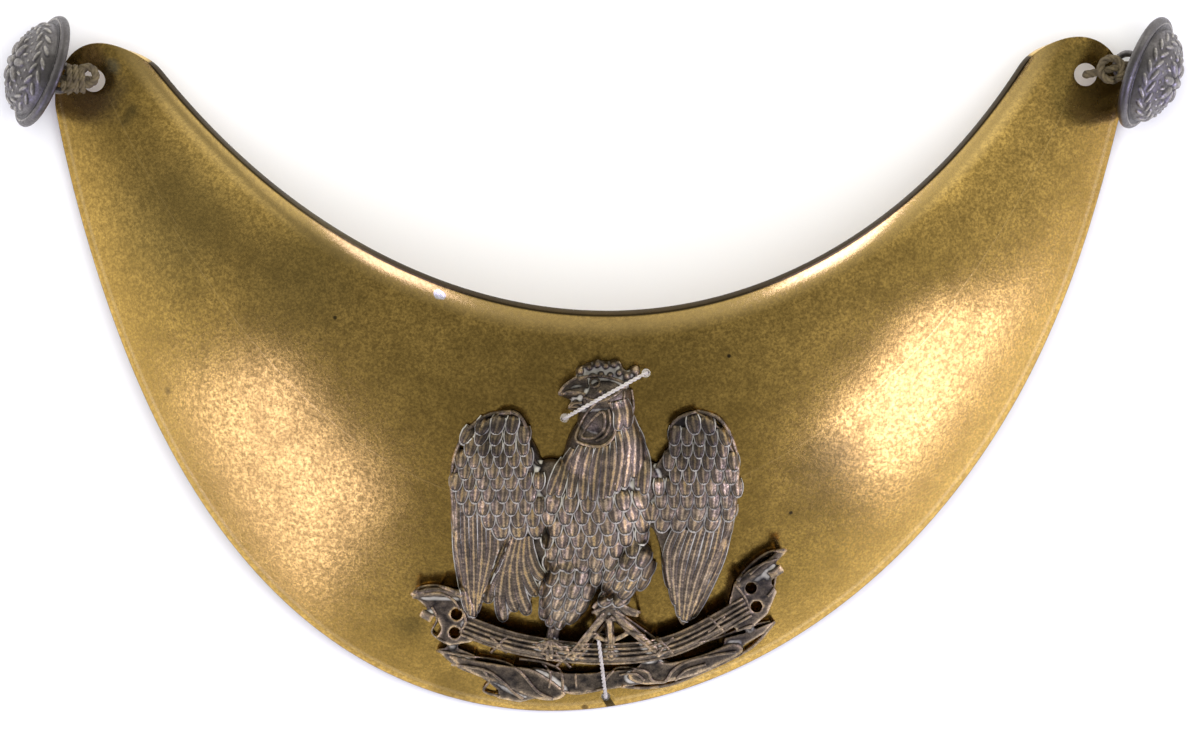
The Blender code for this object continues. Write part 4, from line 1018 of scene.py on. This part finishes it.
lines = list(CHASED_LINES)
for left, top, right, bottom in BINDINGS:
    lines.append((BINDING_DIAMETER, ((left, top), (right, bottom))))
    lines.append((BINDING_DIAMETER, ((right, top), (left, bottom))))
chased = []
for diameter, places in lines:
    chased.append(chase(smooth_line([spot(place) for place in places], 8), diameter * MM))
for rod in range(FASCES_RODS):
    shift = (rod / (FASCES_RODS - 1) - 0.5) * FASCES_WIDTH
    chased.append(chase(shifted_line(fasces_line, shift), ROD_DIAMETER))
for centre, radius, diameter in RINGS:
    ring = [spot((centre[0] + radius * math.cos(turn), centre[1] + radius * math.sin(turn)))
            for turn in (math.tau * step / 16 for step in range(17))]
    chased.append(chase(ring, diameter * MM))
chased_lines = join_as("chased_lines", chased)
mark_points(chased_lines, "relief", [CHASED_TONE] * len(chased_lines.data.vertices))
casting_pieces.append(chased_lines)
for piece in (chased_lines, casting):
    lay_on_crescent(piece)
    shade_smooth(piece)

STAIN_LIFT = 2.6 * MM
TARNISH = (
    # photo place in pixels, radius and fade in millimetres, raggedness, strength and colour
    ((494, 432), 6.0, 4.5, 3.0, 0.6, (0.03, 0.027, 0.026)),
    ((693, 440), 6.5, 4.5, 3.0, 0.62, (0.03, 0.027, 0.026)),
    ((630, 560), 3.5, 2.5, 2.0, 0.5, (0.03, 0.027, 0.026)),
)
BLACKING = (
    # the same, over the dust
    ((602, 368), 3.2, 1.4, 1.0, 0.72, (0.03, 0.026, 0.025)),
    ((590, 385), 2.2, 1.6, 1.0, 0.3, (0.03, 0.026, 0.025)),
    ((732, 652), 5.5, 4.0, 2.0, 0.5, (0.03, 0.028, 0.028)),
    ((757, 582), 4.5, 3.0, 2.0, 0.45, (0.03, 0.028, 0.028)),
    ((500, 688), 3.5, 2.5, 1.5, 0.5, (0.03, 0.028, 0.028)),
)

dark_casting, tree, shader = new_material("dark_casting", 0.4, 1.0)
relief = place_node(tree, "ShaderNodeAttribute", attribute_name="relief").outputs["Fac"]
patch = mottle(tree, 1.1 * MM, 0.35, 0.65)
speck = mottle(tree, 0.22 * MM, 0.4, 0.6)
cloud = mottle(tree, 6.0 * MM, 0.4, 0.6)
uneven = multiply(tree, work_out(tree, "SUBTRACT", patch, 0.5), 0.24)
uneven = work_out(tree, "ADD", relief, uneven)
# Black in the hollows as patina and mid on the flats. Ribs, ridges and chased lines go pale, partly with
# wear and partly as a painted highlight, and gold where the silvering is worn through.
colour = tint(tree, (0.02, 0.018, 0.016), rescale(tree, uneven, 0.37, 0.64), (0.20, 0.158, 0.108))
colour = tint(tree, colour, rescale(tree, uneven, 0.7, 1.0), (0.80, 0.62, 0.39))
colour = tint(tree, colour, multiply(tree, rescale(tree, uneven, 0.75, 1.05), cloud), (0.80, 0.55, 0.22))
colour = tint(tree, colour, speck, (0.05, 0.042, 0.038), 0.4)
colour = add_stains_and_shade(tree, colour, TARNISH, STAIN_LIFT)
dust = rescale(tree, work_out(tree, "ADD", cloud, patch), 0.2, 1.2, 0.4, 1.0)
dust = multiply(tree, rescale(tree, relief, 0.44, 0.26), dust)
colour = add_stains_and_shade(tree, tint(tree, colour, dust, (0.52, 0.49, 0.40)), BLACKING, STAIN_LIFT)
dress(tree, shader, colour, speck, 0.28, 0.06 * MM)
tree.links.new(rescale(tree, dust, 0.0, 0.6, 1.0, 0.1), shader.inputs["Metallic"])
tree.links.new(rescale(tree, speck, 0.0, 1.0, 0.32, 0.62), shader.inputs["Roughness"])
for piece in casting_pieces:
    piece.data.materials.append(dark_casting)
    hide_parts("emblem")
    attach(piece, "root")

# ---- Threads ----
# Two white cotton threads tie the casting on, one over the cockerel's head and one over the ribbon.
# Each is two plies twisted together. It passes through two holes and is knotted under the plate.

THREAD_DIAMETER = 0.55 * MM
THREAD_PITCH = 1.3 * MM
THREAD_RISE = ((0.0, 0.4), (0.1, 0.8), (0.3, 0.95), (0.5, 1.0), (0.75, 0.93), (0.94, 0.82), (1.0, 0.55))
THREAD_KNOT = 0.62 * MM
THREAD_KNOT_RISE = 0.3 * MM
TAIL_DIAMETER = 0.6 * THREAD_DIAMETER
TAIL_BENDS = ((0.0, (0.0, 0.0, 0.0)), (0.9, (0.3, 0.8, -0.3)), (2.4, (0.5, 1.1, -0.1)))


def even_line(route, gap, closed):
    """Return a smooth line through the route, in even steps of about the given gap."""
    fine = smooth_line(route, 12, closed)
    if closed:
        fine.append(fine[0].copy())
    lengths = [0.0]
    for start, end in zip(fine, fine[1:]):
        lengths.append(lengths[-1] + (end - start).length)
    count = max(round(lengths[-1] / gap), 8)
    line = []
    step = 0
    for index in range(count if closed else count + 1):
        along = lengths[-1] * index / count
        while step < len(fine) - 2 and lengths[step + 1] < along:
            step += 1
        share = (along - lengths[step]) / max(lengths[step + 1] - lengths[step], 1e-9)
        line.append(fine[step].lerp(fine[step + 1], share))
    return line, lengths[-1]


def wind_plies(name, route, diameter, plies, pitch, closed=True):
    """Model a twisted cord along a route: round plies that wind about one another."""
    line, length = even_line(route, pitch / 11, closed)
    count = len(line)
    turns = max(round(length / pitch), 1)
    ply_radius = diameter / 2 / (1 + 1 / math.sin(math.pi / plies)) * 1.12
    reach = diameter / 2 - ply_radius
    headings = []
    for index in range(count):
        ahead = line[(index + 1) % count] if closed else line[min(index + 1, count - 1)]
        behind = line[index - 1] if closed else line[max(index - 1, 0)]
        headings.append((ahead - behind).normalized())
    sides = [headings[0].orthogonal().normalized()]
    for heading in headings[1:]:
        sides.append((sides[-1] - heading * sides[-1].dot(heading)).normalized())
    drift = 0.0
    if closed:
        last = (sides[-1] - headings[0] * sides[-1].dot(headings[0])).normalized()
        drift = math.atan2(last.cross(sides[0]).dot(headings[0]), last.dot(sides[0]))
    strands = []
    for ply in range(plies):
        strand = []
        for index in range(count):
            share = index / count
            turn = math.tau * (turns * share + ply / plies) + drift * share
            side = sides[index]
            up = headings[index].cross(side)
            strand.append(line[index] + (side * math.cos(turn) + up * math.sin(turn)) * reach)
        strands.append(round_bar(name, strand, 2 * ply_radius, 6, closed))
    return join_as(name, strands)


def overhand_knot(centre, along, size, height):
    """Return the closed line of a knot that lies about a place."""
    across = Vector((-along.y, along.x, 0.0))
    line = []
    for step in range(24):
        turn = math.tau * step / 24
        line.append(centre + along * size * (math.sin(turn) + 2 * math.sin(2 * turn)) / 3
                    + across * size * (math.cos(turn) - 2 * math.cos(2 * turn)) / 3
                    - UP * height * math.sin(3 * turn))
    return line


def cord_material(name, light, dark, stain_share, fibre):
    """Return a dull fibre material, with its dirt."""
    material, tree, shader = new_material(name, 0.88, 0.0)
    soil = mottle(tree, 1.3 * MM, 0.38, 0.66)
    strands = mottle(tree, fibre, 0.35, 0.65)
    colour = tint(tree, tint(tree, light, soil, dark, stain_share), strands, dark, 0.45)
    dress(tree, shader, colour, strands, 0.5, 0.04 * MM)
    return material


white_thread = cord_material("white_thread", (0.62, 0.58, 0.53), (0.30, 0.26, 0.21), 0.5, 0.12 * MM)
for (name, start_place, end_place, height), node in zip(THREADS, ("tie_upper", "tie_lower")):
    start, end = spot(start_place), spot(end_place)
    over = height * EMBLEM_RELIEF + LAY_GAP + THREAD_DIAMETER / 2
    under = -1.25 * PLATE_WALL - LAY_GAP - THREAD_DIAMETER / 2
    corners = [(0.0, under), (0.0, 0.0)] + [(share, rise * over) for share, rise in THREAD_RISE]
    corners += [(1.0, 0.0), (1.0, under), (0.75, under), (0.5, under), (0.25, under)]
    route = []
    for share, lift in corners:
        place = start.lerp(end, share)
        route.append(Vector((place.x, place.y, height_above(place.x, place.y) + lift)))
    thread = wind_plies(name, route, THREAD_DIAMETER, 2, THREAD_PITCH)
    along = Vector((end.x - start.x, end.y - start.y, 0.0)).normalized()
    middle_under = (route[-1] + route[-2]) / 2
    knot_line = overhand_knot(middle_under, along, THREAD_KNOT, THREAD_KNOT_RISE)
    ends = [thread, wind_plies("thread_knot", knot_line, THREAD_DIAMETER, 2, THREAD_PITCH)]
    for lean in (-1, 1):
        tail = [middle_under + along * lean * reach * MM + Vector(bend) * MM for reach, bend in TAIL_BENDS]
        ends.append(round_bar("thread_tail", smooth_line(tail, 5), TAIL_DIAMETER, 6))
    thread = join_as(name, ends)
    thread.data.transform(Matrix.Translation(TO_ROW))
    shade_smooth(thread)
    thread.data.materials.append(white_thread)
    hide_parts(node)
    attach(thread, "root")

# ---- Buttons ----
# Each horn carries a small uniform button of silvered brass. Its front is stamped with a wreath and
# a rosette, and its edge is crimped round a flat back, on which a wire eye is soldered.

BUTTON_DIAMETER = 15.3 * MM
BUTTON_DOME = 4.3 * MM
BUTTON_WALL = 0.5 * MM
CRIMP_HEIGHT = 1.2 * MM
CRIMP_WIDTH = 1.55 * MM
CRIMP_LIP = 0.3 * MM
BUTTON_TILT = math.radians(17.0)
EYE_RADIUS = 1.7 * MM
EYE_WIRE = 0.9 * MM
EYE_DEPTH = 2.5 * MM
SIDES = (
    # name, hand, reach from the horn's edge and rise in button diameters, facing in degrees
    ("left", -1, 0.06, 0.075, 160.0),
    ("right", 1, 0.126, 0.015, -20.0),
)
LEAF = (0.3, 0.86, 0.25)
STAMPED_RINGS = (
    # how many, turn of the first in steps, radius, lean in degrees, half sizes; in millimetres
    (20, 0.0, 5.05, 118, LEAF), (20, 0.5, 5.85, 62, LEAF), (20, 0.5, 4.1, 0, (0.18, 0.18, 0.22)),
    (8, 0.0, 2.3, 0, (0.62, 1.3, 0.42)), (8, 0.5, 3.3, 0, (0.24, 0.5, 0.3)),
    (1, 0.0, 0.0, 0, (0.85, 0.85, 0.5)),
)
STAMPED_VOXEL = 0.13 * MM
STAMPED_REACH = 0.02 * MM
CRIMP_TONE = 0.42
BACK_TONE = 0.5


def belly_edge_towards(start, heading):
    """Return the point of the belly edge that lies in a direction from a place on the plate."""
    near, far = 0.0, BUTTON_DIAMETER
    for _ in range(40):
        middle = (near + far) / 2
        place = start + heading * middle
        angle = math.atan2(place.x, FAN_HEIGHT - place.y)
        inside = math.hypot(place.x, FAN_HEIGHT - place.y) < belly_reach(angle)
        near, far = (middle, far) if inside else (near, middle)
    edge = start + heading * far
    return Vector((edge.x, edge.y, height_above(edge.x, edge.y)))


def button_frame(hand, reach, rise, facing):
    """Return the placing of a button, which stands on its rim with its face turned outwards."""
    facing = math.radians(facing)
    level = Vector((math.cos(facing), math.sin(facing), 0.0))
    face = level * math.cos(BUTTON_TILT) + UP * math.sin(BUTTON_TILT)
    upright = (UP - face * face.z).normalized()
    across = upright.cross(face)
    hole = lace_hole(hand)
    edge = belly_edge_towards(hole, Vector((hand, 0.0, 0.0)))
    lowest = BUTTON_DIAMETER / 2 * math.cos(BUTTON_TILT) + CRIMP_HEIGHT / 2 * math.sin(BUTTON_TILT)
    middle = Vector((edge.x + hand * reach * BUTTON_DIAMETER, hole.y + rise * BUTTON_DIAMETER, lowest))
    return Matrix.Translation(middle) @ Matrix((across, upright, face)).transposed().to_4x4()


def spin_profile(name, profile, steps):
    """Turn a profile of radii and heights about the upright axis, as on a lathe."""
    bpy.ops.object.select_all(action="DESELECT")
    bpy.ops.mesh.primitive_circle_add(vertices=len(profile), radius=1.0, fill_type="NOTHING")
    turned = name_new(name)
    for vertex, (radius, height) in zip(turned.data.vertices, profile):
        vertex.co = (radius, 0.0, height)
    bpy.ops.object.mode_set(mode="EDIT")
    bpy.ops.mesh.select_all(action="SELECT")
    bpy.ops.mesh.spin(steps=steps, angle=math.tau, center=(0, 0, 0), axis=(0, 0, 1))
    bpy.ops.mesh.select_all(action="SELECT")
    bpy.ops.mesh.remove_doubles(threshold=0.004 * MM)
    bpy.ops.mesh.delete_loose()
    bpy.ops.mesh.select_all(action="SELECT")
    bpy.ops.mesh.normals_make_consistent(inside=False)
    bpy.ops.object.mode_set(mode="OBJECT")
    return turned


def dome_arc(radius, low, high, steps=14):
    """Return a dome's outer line, from its crown down to its foot."""
    turns = [step / steps * math.pi / 2 for step in range(steps + 1)]
    return [(radius * math.sin(turn), low + (high - low) * math.cos(turn)) for turn in turns]


def stamp_lump(radius, turn, lean, sizes):
    """Model one raised lump on the button's dome: a leaf, a petal or a bead."""
    fall = math.asin(min(radius / DOME_RADIUS, 1.0))
    place = Vector((radius, 0.0, HALF_CRIMP + (BUTTON_DOME - HALF_CRIMP) * math.cos(fall)))
    normal = Vector((math.sin(fall) / DOME_RADIUS, 0.0,
                     math.cos(fall) / (BUTTON_DOME - HALF_CRIMP))).normalized()
    down = Vector((normal.z, 0.0, -normal.x))
    seat = Matrix((normal.cross(down), down, normal)).transposed().to_4x4()
    bpy.ops.object.select_all(action="DESELECT")
    bpy.ops.mesh.primitive_uv_sphere_add(segments=14, ring_count=8, radius=1.0)
    lump = bpy.context.object
    lump.matrix_world = (Matrix.Rotation(turn, 4, "Z") @ Matrix.Translation(place) @ seat
                         @ Matrix.Rotation(lean, 4, "Z") @ Matrix.Diagonal((*sizes, 1.0)))
    return name_new("stamped_lump")


OUTER = BUTTON_DIAMETER / 2
HALF_CRIMP = CRIMP_HEIGHT / 2
FOOT = OUTER - 0.55 * CRIMP_WIDTH
DOME_RADIUS = FOOT - BUTTON_WALL
BEAD_RADIUS = 0.4 * CRIMP_WIDTH
CEILING = HALF_CRIMP - BUTTON_WALL / 2
profile = dome_arc(DOME_RADIUS, HALF_CRIMP, BUTTON_DOME)
profile += [(FOOT, HALF_CRIMP + 0.02 * MM), (FOOT + 0.22 * MM, HALF_CRIMP + 0.16 * MM)]
for step in range(9):
    turn = math.radians(80 - 20 * step)
    half_height = HALF_CRIMP + 0.1 * MM if turn > 0 else HALF_CRIMP
    profile.append((OUTER - BEAD_RADIUS + BEAD_RADIUS * math.cos(turn), half_height * math.sin(turn)))
profile += [(OUTER - CRIMP_WIDTH, -HALF_CRIMP), (OUTER - CRIMP_WIDTH, CRIMP_LIP - HALF_CRIMP),
            (OUTER - BUTTON_WALL, CRIMP_LIP - HALF_CRIMP), (OUTER - BUTTON_WALL, CEILING)]
profile += dome_arc(FOOT - 2 * BUTTON_WALL, CEILING, BUTTON_DOME - BUTTON_WALL)[::-1]
stamped = [spin_profile("button_shell", profile, 96)]
for count, first, radius, lean, sizes in STAMPED_RINGS:
    for index in range(count):
        turn = math.tau * (index + first) / count
        stamped.append(stamp_lump(radius * MM, turn, math.radians(lean), Vector(sizes) * MM))
front_model = join_as("front_model", stamped)
finish_with(front_model, "REMESH", mode="VOXEL", voxel_size=STAMPED_VOXEL)
finish_with(front_model, "SMOOTH", factor=0.5, iterations=2)
mark_hollows(front_model, STAMPED_REACH, 1)
for vertex, mark in zip(front_model.data.vertices, front_model.data.attributes["relief"].data):
    if math.hypot(vertex.co.x, vertex.co.y) > FOOT + 0.3 * MM:
        mark.value = min(mark.value, CRIMP_TONE)

disc_radius = OUTER - BUTTON_WALL - LAY_GAP
boss = OUTER - CRIMP_WIDTH - LAY_GAP
seat = CRIMP_LIP + LAY_GAP - HALF_CRIMP
top = CEILING - LAY_GAP
profile = [(0.0, top), (disc_radius, top), (disc_radius, seat), (boss, seat),
           (boss, -HALF_CRIMP + 0.1 * MM), (boss - 0.1 * MM, -HALF_CRIMP), (0.72 * boss, -HALF_CRIMP),
           (0.69 * boss, -HALF_CRIMP + 0.12 * MM), (0.66 * boss, -HALF_CRIMP), (0.0, -HALF_CRIMP)]
disc = spin_profile("back_disc", profile, 72)
bow = [Vector((EYE_RADIUS, 0.0, -HALF_CRIMP + 0.2 * MM))]
for step in range(13):
    turn = step / 12 * math.pi
    bow.append(Vector((EYE_RADIUS * math.cos(turn), 0.0, -EYE_DEPTH - EYE_RADIUS * math.sin(turn))))
bow.append(Vector((-EYE_RADIUS, 0.0, -HALF_CRIMP + 0.2 * MM)))
eye_wire = round_bar("eye_wire", bow, EYE_WIRE, 12)
solder = []
for hand in (-1, 1):
    bpy.ops.object.select_all(action="DESELECT")
    bpy.ops.mesh.primitive_cone_add(vertices=24, radius1=0.85 * MM, radius2=0.5 * MM, depth=0.5 * MM,
                                    location=(hand * EYE_RADIUS, 0.0, -HALF_CRIMP - 0.2 * MM),
                                    rotation=(math.pi, 0.0, 0.0))
    solder.append(name_new("solder"))
back_model = join_as("back_model", [disc, eye_wire, *solder])

button_metal, tree, shader = new_material("button_metal", 0.42, 1.0)
relief = place_node(tree, "ShaderNodeAttribute", attribute_name="relief").outputs["Fac"]
speck = mottle(tree, 0.3 * MM, 0.4, 0.62)
colour = tint(tree, (0.21, 0.198, 0.19), mottle(tree, 3.0 * MM, 0.38, 0.62), (0.125, 0.115, 0.11))
colour = tint(tree, colour, rescale(tree, relief, 0.46, 0.2), (0.035, 0.034, 0.033))
colour = tint(tree, colour, rescale(tree, relief, 0.56, 0.85), (0.52, 0.49, 0.43))
colour = tint(tree, colour, speck, (0.12, 0.112, 0.105), 0.4)
dress(tree, shader, colour, speck, 0.3, 0.05 * MM)
tree.links.new(rescale(tree, speck, 0.0, 1.0, 0.34, 0.55), shader.inputs["Roughness"])
mark_points(back_model, "relief", [BACK_TONE] * len(back_model.data.vertices))
for side, hand, reach, rise, facing in SIDES:
    for model, part in ((front_model, "front"), (back_model, "back")):
        piece = model.copy()
        piece.data = model.data.copy()
        piece.name = piece.data.name = f"stamped_{part}_{side}"
        bpy.context.collection.objects.link(piece)
        piece.data.transform(Matrix.Translation(TO_ROW) @ button_frame(hand, reach, rise, facing))
        select_only(piece)
        bpy.ops.object.shade_smooth_by_angle(angle=math.radians(40))
        piece.data.materials.append(button_metal)
        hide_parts(f"button_{part}_{side}")
        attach(piece, "root")
for model in (front_model, back_model):
    bpy.data.objects.remove(model)

# ---- Laces ----
# A twisted cord of three plies ties each button on. It runs through the button's eye and the horn's
# hole, round the horn's edge, and is wound and knotted between the two.

LACE_DIAMETER = 1.1 * MM
LACE_PITCH = 2.6 * MM
KNOT_HEIGHT = 2.6 * MM
THIN_LACE = 0.95 * MM


def winding(centre, first, second, advance, turns, count):
    """Return a line that winds about a place while it moves on."""
    line = []
    for step in range(count + 1):
        turn = math.tau * turns * step / count
        line.append(centre + advance * (step / count) + first * math.cos(turn) + second * math.sin(turn))
    return line


lace_cord = cord_material("lace_cord", (0.19, 0.148, 0.078), (0.042, 0.032, 0.023), 0.8, 0.16 * MM)
for side, hand, reach, rise, facing in SIDES:
    frame_of_button = button_frame(hand, reach, rise, facing)
    eye = frame_of_button @ Vector((0.0, 0.0, -EYE_DEPTH))
    through = frame_of_button.to_3x3() @ Vector((0.0, 1.0, 0.0))
    hole = lace_hole(hand)
    outward = Vector((eye.x - hole.x, eye.y - hole.y, 0.0)).normalized()
    edge = belly_edge_towards(hole, outward)
    spare = LAY_GAP + LACE_DIAMETER / 2
    hole += outward * LAY_GAP
    below = PLATE_WALL + 1.2 * spare
    round_edge = edge + outward * 1.2 * spare - UP * PLATE_WALL / 2
    before_eye = eye - through * (EYE_WIRE / 2 + spare)
    after_eye = eye + through * (EYE_WIRE / 2 + 1.2 * spare)
    knot = hole.lerp(eye, 0.45)
    knot.z = eye.z + EYE_WIRE / 2 + KNOT_HEIGHT / 2 + 1.5 * LAY_GAP
    route = [hole + UP * 1.5 * spare, hole - UP * PLATE_WALL / 2, hole - UP * below,
             hole.lerp(edge, 0.5) - UP * below, edge - UP * (PLATE_WALL + 0.9 * spare), round_edge,
             round_edge.lerp(before_eye, 0.55), before_eye, eye, after_eye, knot, hole.lerp(knot, 0.6)]
    cords = [wind_plies(f"lace_cord_{side}", route, LACE_DIAMETER, 3, LACE_PITCH)]
    sideways = Vector((-outward.y, outward.x, 0.0))
    if side == "left":
        wraps = winding(knot - outward * 0.91 * MM, sideways * 1.5 * MM, UP * 1.05 * MM,
                        outward * 2.6 * MM, 3.2, 30)
        cords.append(wind_plies("lace_wraps", wraps, THIN_LACE, 3, LACE_PITCH, closed=False))
        ring = winding(knot - (outward * 1.3 + sideways * 0.5 - UP * 0.5) * MM, outward * 1.15 * MM,
                       sideways * 1.15 * MM, UP * 0.0, 1, 12)
        cords.append(wind_plies("lace_ring", ring[:-1], LACE_DIAMETER, 3, LACE_PITCH))
        tail = [knot, knot + (sideways * 0.9 + outward * 0.4 + UP * 0.9) * MM,
                knot + (sideways * 1.9 + outward * 1.2 + UP * 0.5) * MM]
        cords.append(wind_plies("lace_tail", tail, THIN_LACE, 3, LACE_PITCH, closed=False))
    else:
        loop = winding(knot + (outward * 0.7 - UP * 0.65) * MM, outward * 1.45 * MM,
                       sideways * 1.45 * MM, UP * 1.3 * MM, 1.75, 24)
        cords.append(wind_plies("lace_loop", loop, LACE_DIAMETER, 3, LACE_PITCH, closed=False))
    lace = join_as(f"twisted_lace_{side}", cords)
    lace.data.transform(Matrix.Translation(TO_ROW))
    shade_smooth(lace)
    lace.data.materials.append(lace_cord)
    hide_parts(f"lace_{side}")
    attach(lace, "root")
